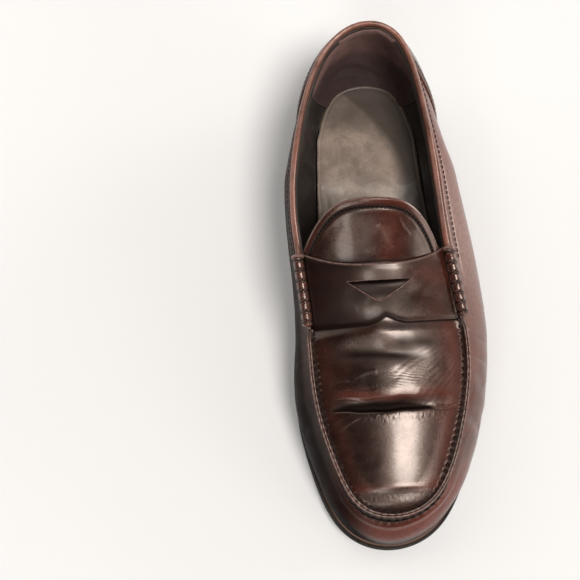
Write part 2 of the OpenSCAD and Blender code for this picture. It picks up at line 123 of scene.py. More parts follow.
def smooth_table(table, x):
    """A smooth value at x from a table of x and value, level where the values turn."""
    xs, ys = np.array(table, float).T
    rise = np.diff(ys) / np.diff(xs)
    slope = np.concatenate([[rise[0]], (ys[2:] - ys[:-2]) / (xs[2:] - xs[:-2]), [rise[-1]]])
    slope[1:-1][rise[1:] * rise[:-1] <= 0] = 0
    x = np.asarray(x, float)
    i = np.clip(np.searchsorted(xs, x) - 1, 0, len(xs) - 2)
    h = xs[i + 1] - xs[i]
    t = (x - xs[i]) / h
    return (
        (1 + 2 * t) * (1 - t) ** 2 * ys[i] + t * (1 - t) ** 2 * h * slope[i]
        + t * t * (3 - 2 * t) * ys[i + 1] + t * t * (t - 1) * h * slope[i + 1]
    )


def ease(a, b, x):
    """0 up to a, 1 from b on, and a smooth rise between them."""
    t = np.clip((np.asarray(x, float) - a) / (b - a), 0, 1)
    return t * t * (3 - 2 * t)


def window(a, b, c, d, x):
    """0 outside a to d and 1 from b to c, with smooth ends."""
    return ease(a, b, x) * (1 - ease(c, d, x))


def bump(x, centre, width):
    """1 at centre, fading to nothing about two widths away on both sides."""
    return np.exp(-(((np.asarray(x, float) - centre) / width) ** 2))


def unit(v):
    return v / np.maximum(np.linalg.norm(v, axis=-1, keepdims=True), 1e-9)


sole_curve = closed_spline(SOLE_POINTS)
bulge_curve = closed_spline(BULGE_POINTS)
top_curve = closed_spline(TOP_POINTS)


def tread_z(y):
    """The height of the sole's underside, with its toe spring and heel pitch."""
    return smooth_table(TREAD, np.clip(y, -146, 146))


def inset_at(u, d):
    """The sole's outline moved inwards by d, as x and y."""
    p = on_loop(sole_curve, u)
    t = unit(on_loop(sole_curve, np.asarray(u) + 0.05) - on_loop(sole_curve, np.asarray(u) - 0.05))
    d = np.asarray(d, float)
    return np.stack([p[..., 0] + t[..., 1] * d, p[..., 1] - t[..., 0] * d], -1)


def wall_at(u, v):
    """The upper's outer face: station u, and v from 0 at the sole to 1 at the top."""
    u, v = np.broadcast_arrays(np.asarray(u, float), np.asarray(v, float))
    foot = inset_at(u, SOLE_MARGIN)
    z = tread_z(foot[..., 1]) + OUTSOLE_T + MIDSOLE_T
    a = np.concatenate([foot, z[..., None]], -1)
    b = on_loop(bulge_curve, u)
    c = on_loop(top_curve, u)
    m = ((b[..., 2] - a[..., 2]) / (c[..., 2] - a[..., 2]))[..., None]
    v = v[..., None]
    return (
        a * (v - m) * (v - 1) / m + b * v * (v - 1) / (m * (m - 1)) + c * v * (v - m) / (1 - m)
    )


def wall_in(u, v):
    """The unit normal of the wall, pointing into the shoe."""
    e = 0.02
    v = np.asarray(v, float)
    low, high = np.maximum(v - e, 0), np.minimum(v + e, 1)
    u = np.asarray(u, float)
    along = wall_at(u + e, v) - wall_at(u - e, v)
    return unit(np.cross(along, wall_at(u, high) - wall_at(u, low)))


def ply_at(u, v, d):
    """A point d millimetres inside the wall's outer face."""
    return wall_at(u, v) + wall_in(u, v) * np.asarray(d, float)[..., None]


def from_heel(u):
    """How many stations u lies from the heel, on either side."""
    u = np.mod(np.asarray(u, float), STATIONS)
    return np.minimum(u, STATIONS - u)


def side_fade(u, near, far):
    """0 where u is nearer the heel than station near, 1 beyond far, alike on both sides."""
    return ease(near, far, from_heel(u))


def instep_at(w, t, lift=0.0):
    """The top of the foot: w stations back from the toe, t from -1 medial to 1 lateral."""
    w, t = np.broadcast_arrays(np.asarray(w, float), np.asarray(t, float))
    left = ply_at(TOE - w, np.ones_like(w), LEATHER_T + 0.2)
    right = ply_at(TOE + w, np.ones_like(w), LEATHER_T + 0.2)
    p = (left + right) / 2 + t[..., None] * (left - right) / 2
    p = p.copy()
    p[..., 2] += smooth_table(CROWN, w) * (1 - t * t) + lift
    return p


# ---------------------------------------------------------------- relief and noise
class Noise:
    """Smooth value noise on a wrapped lattice, the same on every run."""

    def __init__(self, seed, size=64):
        self.grid = np.random.default_rng(seed).uniform(-1, 1, (size, size))
        self.size = size

    def __call__(self, x, y):
        i, j = np.floor(x).astype(int), np.floor(y).astype(int)
        s, t = x - i, y - j
        s, t = s * s * (3 - 2 * s), t * t * (3 - 2 * t)
        g, n = self.grid, self.size
        a, b = g[i % n, j % n], g[(i + 1) % n, j % n]
        c, d = g[i % n, (j + 1) % n], g[(i + 1) % n, (j + 1) % n]
        return (a * (1 - s) + b * s) * (1 - t) + (c * (1 - s) + d * s) * t


def stroke(x, y, points, width, height):
    """A soft ridge along a line of points, tapering to nothing at its ends. Negative is a fold."""
    p = np.array(points, float)
    cuts = np.linalg.norm(np.diff(p, axis=0), axis=1)
    at = np.concatenate([[0], np.cumsum(cuts)]) / cuts.sum()
    best = np.full(np.shape(x), 1e9)
    share = np.zeros(np.shape(x))
    for k in range(len(p) - 1):
        d = p[k + 1] - p[k]
        s = np.clip(((x - p[k, 0]) * d[0] + (y - p[k, 1]) * d[1]) / (d @ d), 0, 1)
        gap = np.hypot(x - p[k, 0] - s * d[0], y - p[k, 1] - s * d[1])
        near = gap < best
        best = np.where(near, gap, best)
        share = np.where(near, at[k] + s * (at[k + 1] - at[k]), share)
    return height * np.sqrt(np.clip(4 * share * (1 - share), 0, 1)) * bump(best, 0, width)


def strokes(x, y, *lines):
    """The sum of several strokes, each of them points, width and height."""
    return sum(stroke(x, y, *line) for line in lines)


def distance_to(trail, x, y):
    """Distance, seen from above, to the nearest of a line's points."""
    best = np.full(x.shape, 1e9)
    for q in trail:
        best = np.minimum(best, (x - q[0]) ** 2 + (y - q[1]) ** 2)
    return np.sqrt(best)


# ---------------------------------------------------------------- meshes
def grid_faces(rows, cols, wrap_rows=False, wrap_cols=False, start=0):
    i = np.arange(rows if wrap_rows else rows - 1)
    j = np.arange(cols if wrap_cols else cols - 1)
    i, j = (x.ravel() for x in np.meshgrid(i, j, indexing="ij"))

    def at(a, b):
        return start + (a % rows) * cols + b % cols

    return np.stack([at(i, j), at(i + 1, j), at(i + 1, j + 1), at(i, j + 1)], 1).tolist()


def volume_of(points, faces):
    total = 0.0
    for size in {len(f) for f in faces}:
        f = np.array([x for x in faces if len(x) == size])
        for k in range(1, size - 1):
            a, b, c = points[f[:, 0]], points[f[:, k]], points[f[:, k + 1]]
            total += np.einsum("ij,ij->i", a, np.cross(b, c)).sum()
    return total / 6


def make_piece(name, node, points, faces, material, body="shoe", closed=True):
    """A mesh piece from points in millimetres, which stands for a CAD node if one is named.

    A closed one is turned to face outwards."""
    points = np.asarray(points, float).reshape(-1, 3)
    if closed and volume_of(points, faces) < 0:
        faces = [f[::-1] for f in faces]
    mesh = bpy.data.meshes.new(name)
    mesh.from_pydata((points * MM).tolist(), [], faces)
    mesh.polygons.foreach_set("use_smooth", [True] * len(mesh.polygons))
    mesh.materials.append(material)
    obj = bpy.data.objects.new(name, mesh)
    scene.collection.objects.link(obj)
    if body:
        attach(obj, body)
    if node:
        # Blender ends a name it already has with a number, as in calf.001.
        name = material.name.split(".")[0]
        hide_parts(node)
    return obj


def swept_faces(rows, cols, start=0):
    """Faces of a closed profile of cols points carried along rows stations, with flat ends."""
    first = list(range(start, start + cols))
    last = [i + (rows - 1) * cols for i in first]
    return [*grid_faces(rows, cols, False, True, start), first[::-1], last]


def rim_of(rows, cols):
    """The rows and columns of the points round the edge of a grid."""
    loop = [(0, j) for j in range(cols)] + [(i, cols - 1) for i in range(1, rows)]
    loop += [(rows - 1, j) for j in range(cols - 2, -1, -1)]
    loop += [(i, 0) for i in range(rows - 2, 0, -1)]
    return np.array(loop).T


def rimmed_solid(top, low, rings):
    """A closed solid from two grids of points, with rings round the edge from top to low.

    Its points are the top, the underside and then the rings."""
    rows, cols, _ = top.shape
    li, lj = rim_of(rows, cols)
    count, size = rows * cols, len(li)
    points = np.concatenate([top.reshape(-1, 3), low.reshape(-1, 3), *rings])
    faces = grid_faces(rows, cols) + [f[::-1] for f in grid_faces(rows, cols, start=count)]
    upper = (li * cols + lj).tolist()
    lower = (count + li * cols + lj).tolist()
    middle = (2 * count + np.arange(len(rings) * size)).reshape(-1, size).tolist()
    chains = [upper, *middle, lower]
    for a, b in zip(chains, chains[1:]):
        faces += [[a[k - 1], a[k], b[k], b[k - 1]] for k in [*range(1, size), 0]]
    return points, faces


def sheet_solid(top, normal, thickness, rim=4):
    """A sheet of leather: a grid of points, its unit normals, and a rounded edge all round."""
    low = top - normal * thickness
    at = tuple(rim_of(*top.shape[:2]))
    inner = top[tuple(np.clip(k, 1, size - 2) for k, size in zip(at, top.shape))]
    n = normal[at]
    out = top[at] - inner
    out = unit(out - (out * n).sum(-1, keepdims=True) * n)
    mid = (top[at] + low[at]) / 2
    turns = math.pi * np.arange(1, rim) / rim
    rings = [mid + thickness / 2 * (math.cos(a) * n + math.sin(a) * out) for a in turns]
    return rimmed_solid(top, low, rings)


def sheet_values(points, face, rim=0.0):
    """One value for each point of a sheet: a grid of them on its face and one on its edge."""
    values = np.zeros(len(points))
    values[:face.size] = face.ravel()
    values[2 * face.size:] = rim
    return values


def grid_normals(p):
    """Unit normals of a grid of points, turned upwards."""
    n = unit(np.cross(np.gradient(p, axis=0), np.gradient(p, axis=1)))
    side = np.sign(n[..., 2:])
    return n * np.where(side == 0, 1, side)


def round_angles(sides):
    return 2 * math.pi * np.arange(sides) / sides


def rings_round(path, radius, across, up):
    """Rings of points round a path, from each ring's two directions and radii at each angle.

    radius holds the size along across and along up, with the cosine and sine in them."""
    a, b = (r[..., None] for r in radius)
    return path[:, None] + a * across[:, None] + b * up[:, None]


def square_to(path, out):
    """Unit directions at right angles to a path: out made square to it, and up."""
    t = unit(np.gradient(path, axis=0))
    out = unit(out - (out * t).sum(-1, keepdims=True) * t)
    up = unit(np.cross(t, out))
    return out, up * np.sign(up[:, 2:3])


def joined(parts):
    """Several lists of points and faces as one."""
    points, faces, count = [], [], 0
    for p, f in parts:
        points.append(p)
        faces += [[i + count for i in face] for face in f]
        count += len(p)
    return np.concatenate(points), faces


def stitch_mesh(starts, ends, normals, radius, sink=0.5):
    """Short threads from starts to ends that stand proud in the middle and dive at both ends."""
    sides = 8
    steps = np.linspace(0, 1, 9)
    a, b, n = starts, ends, normals
    lift = np.sqrt(np.clip(1 - (2 * steps - 1) ** 4, 0, 1)) - sink
    mid = a[:, None] * (1 - steps[None, :, None]) + b[:, None] * steps[None, :, None]
    mid = mid + n[:, None] * (lift * radius * 1.6)[None, :, None]
    t = unit(np.gradient(mid, axis=1))
    s = unit(np.cross(t, n[:, None]))
    w = np.cross(s, t)
    ang = round_angles(sides)
    thick = radius * np.sqrt(np.clip(1 - (2 * steps - 1) ** 8, 0.05, 1))[None, :, None, None]
    rings = mid[:, :, None] + thick * (
        np.cos(ang)[None, None, :, None] * s[:, :, None]
        + np.sin(ang)[None, None, :, None] * w[:, :, None]
    )
    size = len(steps) * sides
    faces = [f for k in range(len(a)) for f in swept_faces(len(steps), sides, k * size)]
    return rings.reshape(-1, 3), faces


def weld(points, faces):
    """Merge points that lie together and drop the faces that this closes up.

    Also returns which of the points are kept."""
    keys = np.round(points, WELD_DIGITS)
    _, first, where = np.unique(keys, axis=0, return_index=True, return_inverse=True)
    where = where.ravel().tolist()
    kept = []
    for f in faces:
        g = [where[i] for i in f]
        g = [a for k, a in enumerate(g) if a != g[k - 1]]
        if len(g) > 2 and len(set(g)) == len(g):
            kept.append(g)
    return keys[first], kept, first


def paint(obj, wear_and_sheen=0.0, dirt_and_shade=0.0, red=0.0, pick=...):
    """Colour hints for the leather at each point: worn light and painted sheen, dark for dirt and
    painted shade, and burnished red.
    """
    values = np.zeros((len(obj.data.vertices), 4), np.float32)
    for k, value in enumerate((wear_and_sheen, dirt_and_shade, red)):
        value = np.asarray(value, float).ravel()
        values[:, k] = np.clip(value[pick] if value.size > 1 else value, 0, 1)
    values[:, 3] = 1
    attribute = obj.data.color_attributes.new("paint", "FLOAT_COLOR", "POINT")
    attribute.data.foreach_set("color", values.ravel())


# ---------------------------------------------------------------- materials
class Nodes:
    """A material with a Principled shader, and short calls for the nodes before it."""

    def __init__(self, name, **sockets):
        self.material = bpy.data.materials.new(name)
        self.material.use_nodes = True
        self.tree = self.material.node_tree
        self.tree.nodes.clear()
        out = self.add("ShaderNodeOutputMaterial")
        self.shader = self.add("ShaderNodeBsdfPrincipled")
        self.tree.links.new(self.shader.outputs[0], out.inputs[0])
        self.where = self.add("ShaderNodeTexCoord").outputs["Object"]
        for key, value in sockets.items():
            self.shader.inputs[key.replace("_", " ")].default_value = value

    def add(self, kind, **values):
        node = self.tree.nodes.new(kind)
        for key, value in values.items():
            setattr(node, key, value)
        return node

    def put(self, socket, value):
        if isinstance(value, bpy.types.NodeSocket):
            self.tree.links.new(value, socket)
        elif isinstance(value, tuple) and len(value) == 3 and socket.type == "RGBA":
            socket.default_value = (*value, 1)
        else:
            socket.default_value = value

    def set(self, name, value):
        self.put(self.shader.inputs[name], value)

    def stretched(self, scale):
        node = self.add("ShaderNodeMapping")
        self.put(node.inputs["Vector"], self.where)
        node.inputs["Scale"].default_value = scale
        return node.outputs[0]

    def noise(self, scale, detail=3.0, rough=0.55, vector=None, warp=0.0):
        node = self.add("ShaderNodeTexNoise")
        self.put(node.inputs["Vector"], vector or self.where)
        for key, value in (
            ("Scale", scale), ("Detail", detail), ("Roughness", rough), ("Distortion", warp),
        ):
            node.inputs[key].default_value = value
        return node.outputs["Fac"]

    def cells(self, scale, vector=None, feature="DISTANCE_TO_EDGE"):
        node = self.add("ShaderNodeTexVoronoi", feature=feature)
        self.put(node.inputs["Vector"], vector or self.where)
        node.inputs["Scale"].default_value = scale
        return node.outputs["Distance"]

    def math(self, kind, a, b=0.0, c=0.0):
        node = self.add("ShaderNodeMath", operation=kind)
        for socket, value in zip(node.inputs, (a, b, c)):
            self.put(socket, value)
        return node.outputs[0]

    def span(self, value, low, high, to_low=0.0, to_high=1.0):
        node = self.add("ShaderNodeMapRange", interpolation_type="SMOOTHSTEP")
        for socket, item in zip(node.inputs, (value, low, high, to_low, to_high)):
            self.put(socket, item)
        return node.outputs[0]

    def mix(self, share, a, b, kind="MIX"):
        node = self.add("ShaderNodeMix", data_type="RGBA", blend_type=kind)
        self.put(node.inputs["Factor"], share)
        self.put(node.inputs[6], a)
        self.put(node.inputs[7], b)
        return node.outputs[2]

    def bump(self, *layers):
        """Each layer is a height, its depth in metres and its strength."""
        normal = None
        for height, depth, strength in layers:
            node = self.add("ShaderNodeBump")
            self.put(node.inputs["Height"], height)
            node.inputs["Distance"].default_value = depth
            node.inputs["Strength"].default_value = strength
            if normal:
                self.put(node.inputs["Normal"], normal)
            normal = node.outputs[0]
        self.set("Normal", normal)

    def paint(self):
        """The wear and painted sheen, the dirt and painted shade, and the red that paint() left on
        the mesh.
        """
        node = self.add("ShaderNodeAttribute", attribute_name="paint")
        split = self.add("ShaderNodeSeparateColor")
        self.put(split.inputs[0], node.outputs["Color"])
        return split.outputs


def darker(colour, share):
    return tuple(share * c for c in colour)


def lighter(colour, share, more=0.0):
    return tuple(min(1.0, share * c + more) for c in colour)


def calf_material(name, dark, base, red, rough=0.25, grain=1.0, coat=0.4):
    """Polished calf: burnished clouds, pores and fine wrinkles, worn light at cut edges and
    painted sheen, dark for dirt and painted shade.
    """
    n = Nodes(name, Coat_Roughness=0.15, Specular_Tint=(1.0, 0.80, 0.71, 1.0))
    wear_and_sheen, dirt_and_shade, burnish = n.paint()[:3]
    cloud = n.noise(38, 3, 0.55, warp=0.2)
    blot = n.noise(140, 3, 0.6)
    streak = n.noise(260, 3, 0.6, n.stretched((1.0, 0.35, 1.0)))
    fine = n.noise(1500, 2, 0.5)
    colour = n.mix(n.span(cloud, 0.34, 0.66), dark, base)
    glow = n.math("ADD", burnish, n.math("MULTIPLY", blot, 0.5))
    colour = n.mix(n.span(glow, 0.28, 1.15), colour, red)
    colour = n.mix(n.span(streak, 0.4, 0.75, 0.0, 0.28), colour, dark)
    colour = n.mix(n.span(fine, 0.25, 0.45, 0.22, 0.0), colour, dark)
    colour = n.mix(dirt_and_shade, colour, darker(dark, 0.22))
    scuff_and_sheen = n.math("MULTIPLY", wear_and_sheen, n.span(n.noise(520, 3), 0.3, 0.6, 0.45, 1.0))
    colour = n.mix(scuff_and_sheen, colour, WORN_AND_SHEEN_CALF)
    n.set("Base Color", colour)
    calm = n.span(burnish, 0.4, 1.1, 1.0, 0.35)
    n.set("Specular IOR Level", n.math("MULTIPLY", n.span(dirt_and_shade, 0.0, 1.0, 0.74, 0.05), calm))
    n.set("Coat Weight", n.math("MULTIPLY", n.span(dirt_and_shade, 0.0, 0.8, coat, 0.0), calm))
    gloss = n.span(blot, 0.3, 0.7, rough - 0.03, rough + 0.04)
    gloss = n.math("ADD", gloss, n.math("MULTIPLY", dirt_and_shade, 0.3))
    n.set("Roughness", n.math("ADD", gloss, n.math("MULTIPLY", scuff_and_sheen, 0.2)))
    pores = n.span(n.cells(1150), 0.0, 0.16)
    hair = n.span(n.cells(2600, feature="F1"), 0.08, 0.3)
    creases = n.noise(420, 4, 0.55, n.stretched((0.8, 1.6, 1.0)), 0.15)
    n.bump(
        (creases, 0.00003 * grain, 0.3),
        (pores, 0.00003 * grain, 0.35),
        (hair, 0.000008 * grain, 0.3),
    )
    return n.material


def plain_leather(
    name, low, high, rough, grain=0.00012, sheen=0.1, scale=1300, spots=90, tint=(1.0, 0.9, 0.85),
):
    """Lining leather: mottled, with a fine grain and a soft sheen."""
    n = Nodes(name, Sheen_Weight=sheen, Sheen_Roughness=0.45, Specular_IOR_Level=0.4)
    n.set("Sheen Tint", tint)
    wear_and_sheen, dirt_and_shade = n.paint()[:2]
    colour = n.mix(n.span(n.noise(spots, 5, 0.62, warp=0.5), 0.32, 0.68), low, high)
    colour = n.mix(n.span(n.noise(scale, 2), 0.3, 0.55, 0.25, 0.0), colour, darker(low, 0.5))
    colour = n.mix(dirt_and_shade, colour, darker(low, 0.3))
    colour = n.mix(wear_and_sheen, colour, lighter(high, 2.4))
    n.set("Base Color", colour)
    n.set("Roughness", n.span(n.noise(210, 4), 0.3, 0.7, rough - 0.07, rough + 0.09))
    n.bump((n.noise(500, 4, 0.6), 3 * grain, 0.4), (n.cells(scale), grain, 0.5))
    return n.material


def thread_material(name, low, high):
    """Waxed thread with the twist of its plies."""
    n = Nodes(name, Sheen_Weight=0.06, Sheen_Roughness=0.4, Specular_IOR_Level=0.3)
    ply = n.add("ShaderNodeTexWave", wave_type="BANDS", bands_direction="DIAGONAL")
    n.put(ply.inputs["Vector"], n.where)
    ply.inputs["Scale"].default_value = 900
    ply.inputs["Distortion"].default_value = 1.5
    n.set("Base Color", n.mix(n.math("MULTIPLY", ply.outputs["Fac"], n.noise(300)), low, high))
    n.set("Roughness", n.span(n.noise(700), 0.3, 0.7, 0.42, 0.62))
    n.bump((ply.outputs["Fac"], 0.00012, 0.7))
    return n.material


def rubber_material(name, low, high, rough, lines):
    """A blacked sole edge or rubber: dull clouds, scuffs and brushed streaks, lines strong."""
    n = Nodes(name, Specular_IOR_Level=0.28)
    wear_and_sheen, dirt_and_shade = n.paint()[:2]
    colour = n.mix(n.span(n.noise(70, 5, 0.65), 0.35, 0.7), low, high)
    dust = n.span(n.noise(600, 4, 0.7), 0.55, 0.8, 0.0, 0.5)
    colour = n.mix(dust, colour, lighter(high, 2.2, 0.01))
    colour = n.mix(wear_and_sheen, colour, lighter(high, 7, 0.03))
    colour = n.mix(dirt_and_shade, colour, darker(low, 0.4))
    n.set("Base Color", colour)
    n.set("Roughness", n.span(n.noise(330, 4), 0.3, 0.7, rough - 0.08, rough + 0.12))
    streaks = n.noise(300, 3, 0.6, n.stretched((0.25, 0.25, 9.0)))
    n.bump((streaks, 0.00025, lines), (n.noise(2400, 3), 0.00008, 0.5))
    return n.material


def simple_material(name, low, high, scale, rough, depth, metal=0.0, cells=False):
    """A two-tone fill for the inner pieces, with its own grain."""
    n = Nodes(name, Metallic=metal)
    grain = n.span(n.cells(scale, feature="F1"), 0.1, 0.7) if cells else n.noise(scale, 5, 0.65)
    n.set("Base Color", n.mix(grain, low, high))
    n.set("Roughness", n.span(n.noise(scale * 0.6), 0.3, 0.7, rough - 0.08, rough + 0.1))
    n.bump((grain, depth, 0.6))
    return n.material


WORN_AND_SHEEN_CALF = (0.36, 0.22, 0.19)
CALF_DARK = (0.0100, 0.0035, 0.0027)
CALF_BASE = (0.029, 0.0088, 0.0062)
CALF_RED = (0.075, 0.0160, 0.0100)
calf = calf_material("calf", CALF_DARK, CALF_BASE, CALF_RED)
# The walls' copy of the calf is lighter and redder: painted light for the light the walls catch
# from the side.
calf_wall = calf_material(
    "calf_wall", CALF_DARK, (0.066, 0.0205, 0.0135), (0.120, 0.025, 0.0150), 0.27, coat=0.22,
)
piping = calf_material(
    "piping", (0.095, 0.034, 0.023), (0.220, 0.086, 0.060), (0.230, 0.083, 0.057), 0.27, 0.6,
)
cut_edge = calf_material(
    "cut_edge", (0.12, 0.055, 0.042), (0.26, 0.145, 0.115), (0.2, 0.09, 0.07), 0.5, 0.6
)
lining = plain_leather("lining", (0.021, 0.0165, 0.0145), (0.040, 0.031, 0.027), 0.46)
sock_leather = plain_leather(
    "sock", (0.235, 0.180, 0.148), (0.430, 0.340, 0.285), 0.40, sheen=0.15, spots=60,
)
suede = plain_leather(
    "suede", (0.100, 0.056, 0.053), (0.190, 0.110, 0.102), 0.85, 0.0002, 0.3, 2200,
    tint=(0.85, 0.5, 0.46),
)
thread = thread_material("thread", (0.010, 0.0055, 0.0045), (0.034, 0.017, 0.013))
sole_thread = thread_material("sole_thread", (0.05, 0.040, 0.030), (0.14, 0.11, 0.085))
sole_edge = rubber_material("sole_edge", (0.006, 0.005, 0.005), (0.018, 0.0145, 0.013), 0.36, 0.6)
welt = rubber_material("midsole_edge", (0.010, 0.0065, 0.0055), (0.030, 0.018, 0.014), 0.34, 0.5)
rubber = rubber_material("rubber", (0.009, 0.0085, 0.0085), (0.020, 0.019, 0.018), 0.6, 0.15)
cork = simple_material(
    "cork", (0.18, 0.085, 0.035), (0.48, 0.27, 0.13), 900, 0.85, 0.0004, cells=True,
)
board = simple_material("board", (0.26, 0.18, 0.11), (0.42, 0.31, 0.20), 700, 0.8, 0.0001)
foam = simple_material(
    "foam", (0.55, 0.52, 0.45), (0.72, 0.69, 0.62), 1500, 0.9, 0.0002, cells=True,
)
tape = simple_material("tape", (0.62, 0.59, 0.52), (0.78, 0.75, 0.69), 1100, 0.8, 0.0002)
steel = simple_material("steel", (0.30, 0.31, 0.33), (0.50, 0.51, 0.53), 350, 0.34, 0.00004, 1.0)
brass = simple_material("brass", (0.36, 0.25, 0.11), (0.56, 0.42, 0.21), 500, 0.36, 0.00004, 1.0)


def paint_cad(node, material):
    """A CAD node that keeps its own shape gets a better material."""
    for item in bpy.data.objects[node].material_slots:
        item.material = material


# ---------------------------------------------------------------- the moccasin seam
def toe_share(u):
    """1 round the toe, where the seam leans in, and 0 along the sides."""
    return 1 - ease(0.9, 2.1, TOE - from_heel(u))


def lip_height(u):
    """How high the seam stands over the edges it joins. It dies out at the strap."""
    return 0.4 + (LIP - 0.4) * side_fade(u, 4.97, 5.2)


def out_at(u):
    """The level unit direction out of the shoe at its top edge."""
    n = -wall_in(u, np.ones_like(np.asarray(u, float)))
    return unit(n * [1, 1, 0])


def crest_at(u):
    """The middle of the seam's top."""
    u = np.asarray(u, float)
    one = np.ones_like(u)
    lean = unit(np.array([0, 0, 1.0]) - 0.35 * wall_in(u, one))
    return ply_at(u, one, LEATHER_T / 2 * one) + lean * lip_height(u)[..., None]


def outer_base(u):
    """The level of the valley outside the seam."""
    u = np.asarray(u, float)
    side = 0.984 - 0.079 * toe_share(u)
    return side + (0.99 - side) * (1 - side_fade(u, 4.8, 5.1))


def valley_at(u):
    """The valley between the seam and the plug, where the stitches lie."""
    u = np.asarray(u, float)
    s = toe_share(u)
    inward = 2.3 - 1.2 * s
    depth = (1.3 - 0.15 * s) * lip_height(u) / LIP
    p = crest_at(u) - out_at(u) * inward[..., None]
    p[..., 2] -= depth
    return p


def even_stations(curve, first, last, pitch):
    """Stations where stitches start and end, pitch apart along a curve from first to last."""
    u = np.linspace(first, last, 2400)
    p = curve(u)
    run = np.concatenate([[0], np.cumsum(np.linalg.norm(np.diff(p, axis=0), axis=1))])
    count = max(2, int(round(run[-1] / pitch)))
    marks = (np.arange(count) + 0.5) * run[-1] / count
    return np.interp(marks, run, u), np.interp(marks + pitch * STITCH_SHARE, run, u)


stitch_from, stitch_to = even_stations(crest_at, TOE - 3.95, TOE + 3.95, SEAM_PITCH)


def stitch_phase(u):
    """A wave with one period a stitch: 1 in the middle of a stitch, -1 between two."""
    mid = (stitch_from + stitch_to) / 2
    k = np.interp(u, mid, np.arange(len(mid)))
    return np.cos(2 * math.pi * k)


# ---------------------------------------------------------------- the wall
soft, medium, sharp = Noise(11), Noise(12), Noise(13)

COLLAR_LEVEL = 0.905
# Folds down the sides, as lines of y and z, each with its width and height.
LATERAL_FOLDS = [
    ([(-33.2, 50), (-34.2, 30)], 0.9, -0.22), ([(-43.5, 49), (-45.6, 29)], 1.0, -0.24),
    ([(-38.5, 48), (-40, 30)], 3.0, 0.25), ([(-50, 47), (-57, 34)], 4.0, -0.45),
    ([(-64, 44), (-68, 24)], 5.0, 0.7), ([(-73, 46), (-76, 40), (-80, 27)], 3.2, -0.85),
    ([(-84, 40), (-88, 24)], 5.0, 0.4),
]
MEDIAL_FOLDS = [
    ([(-74, 46), (-77, 38), (-80, 26)], 3.0, -0.6), ([(-66, 44), (-68, 26)], 5.0, 0.45),
    ([(-40, 50), (-44, 30)], 1.6, -0.25),
]
# Single creases of the plug, as lines of x and y.
PLUG_CREASES = [
    ([(-31, -83), (-25, -79), (-18, -75.5)], 0.6, 0.16),
    ([(-33, -80), (-27, -76.5), (-22, -74.6)], 0.6, -0.12),
    ([(-25, -58.5), (-20, -54.5), (-14, -52.5), (-9, -52.3)], 1.2, 0.22),
    ([(-34, -62), (-24, -60.8), (-15, -62), (-8, -60.4)], 0.7, -0.14),
    ([(-34, -57), (-27, -56), (-20, -57)], 0.8, -0.12),
    ([(-33, -66.5), (-26, -66), (-14, -67.6), (-4, -66.2)], 0.7, -0.12),
    ([(22, -70.2), (28, -70.8), (33, -70)], 0.4, -0.35),
]


def wall_relief(u, v, p):
    """How far the wall's face stands out from its plain surface, in millimetres."""
    x, y, z = np.moveaxis(p, -1, 0)
    quarter = 1 - side_fade(u, 4.2, 4.6)
    base = outer_base(u)
    r = 0.16 * soft(u * 3.1, v * 2.3 + 4) + 0.07 * medium(u * 9, v * 7)
    r = r + quarter * (0.95 * bump(v, 0.958, 0.026) - 0.32 * bump(v, COLLAR_LEVEL, 0.007))
    seam = side_fade(u, 4.9, 5.2)
    pull = seam * (0.08 + 0.14 * toe_share(u))
    r = r + pull * stitch_phase(u) * -bump(v, base - 0.012, 0.022)
    r = r + seam * (0.55 * toe_share(u) + 0.15) * bump(v, base - 0.10, 0.055)
    r = r + ease(0, 20, x) * strokes(y, z, *LATERAL_FOLDS)
    return r + ease(0, 20, -x) * strokes(y, z, *MEDIAL_FOLDS)


# Across the top of a lip, from the rim inwards: millimetres from the seam's middle, and height.
LIP_TOP = [(0.96, 0.0), (0.80, 0.15), (0.50, 0.2), (0.20, 0.1), (0.09, -0.05), (0.05, -0.5)]


def lip_side(u, foot, count, side, thick, reach, sag, wave):
    """One leather's side of the raised seam: the climb to its rim, and the top of its lip.

    side is 1 for the wall, which lies outside the seam, and -1 for the plug."""
    crest, out = crest_at(u), side * out_at(u)
    fold = (lip_height(u) / LIP)[:, None]
    steps = np.linspace(0, 1, count + 1)[1:]
    rim = crest + reach * thick * out - [0, 0, 0.3]
    climb = foot[:, None] + (rim - foot)[:, None] * steps[:, None]
    climb -= (out * fold)[:, None] * (sag * np.sin(math.pi * steps))[:, None]
    climb[..., 2] += wave[:, None] * steps * fold
    ridge = np.stack([crest + out * a * thick + [0, 0, b] for a, b in LIP_TOP], 1)
    ridge[..., 2] += wave[:, None] * fold
    return climb, ridge


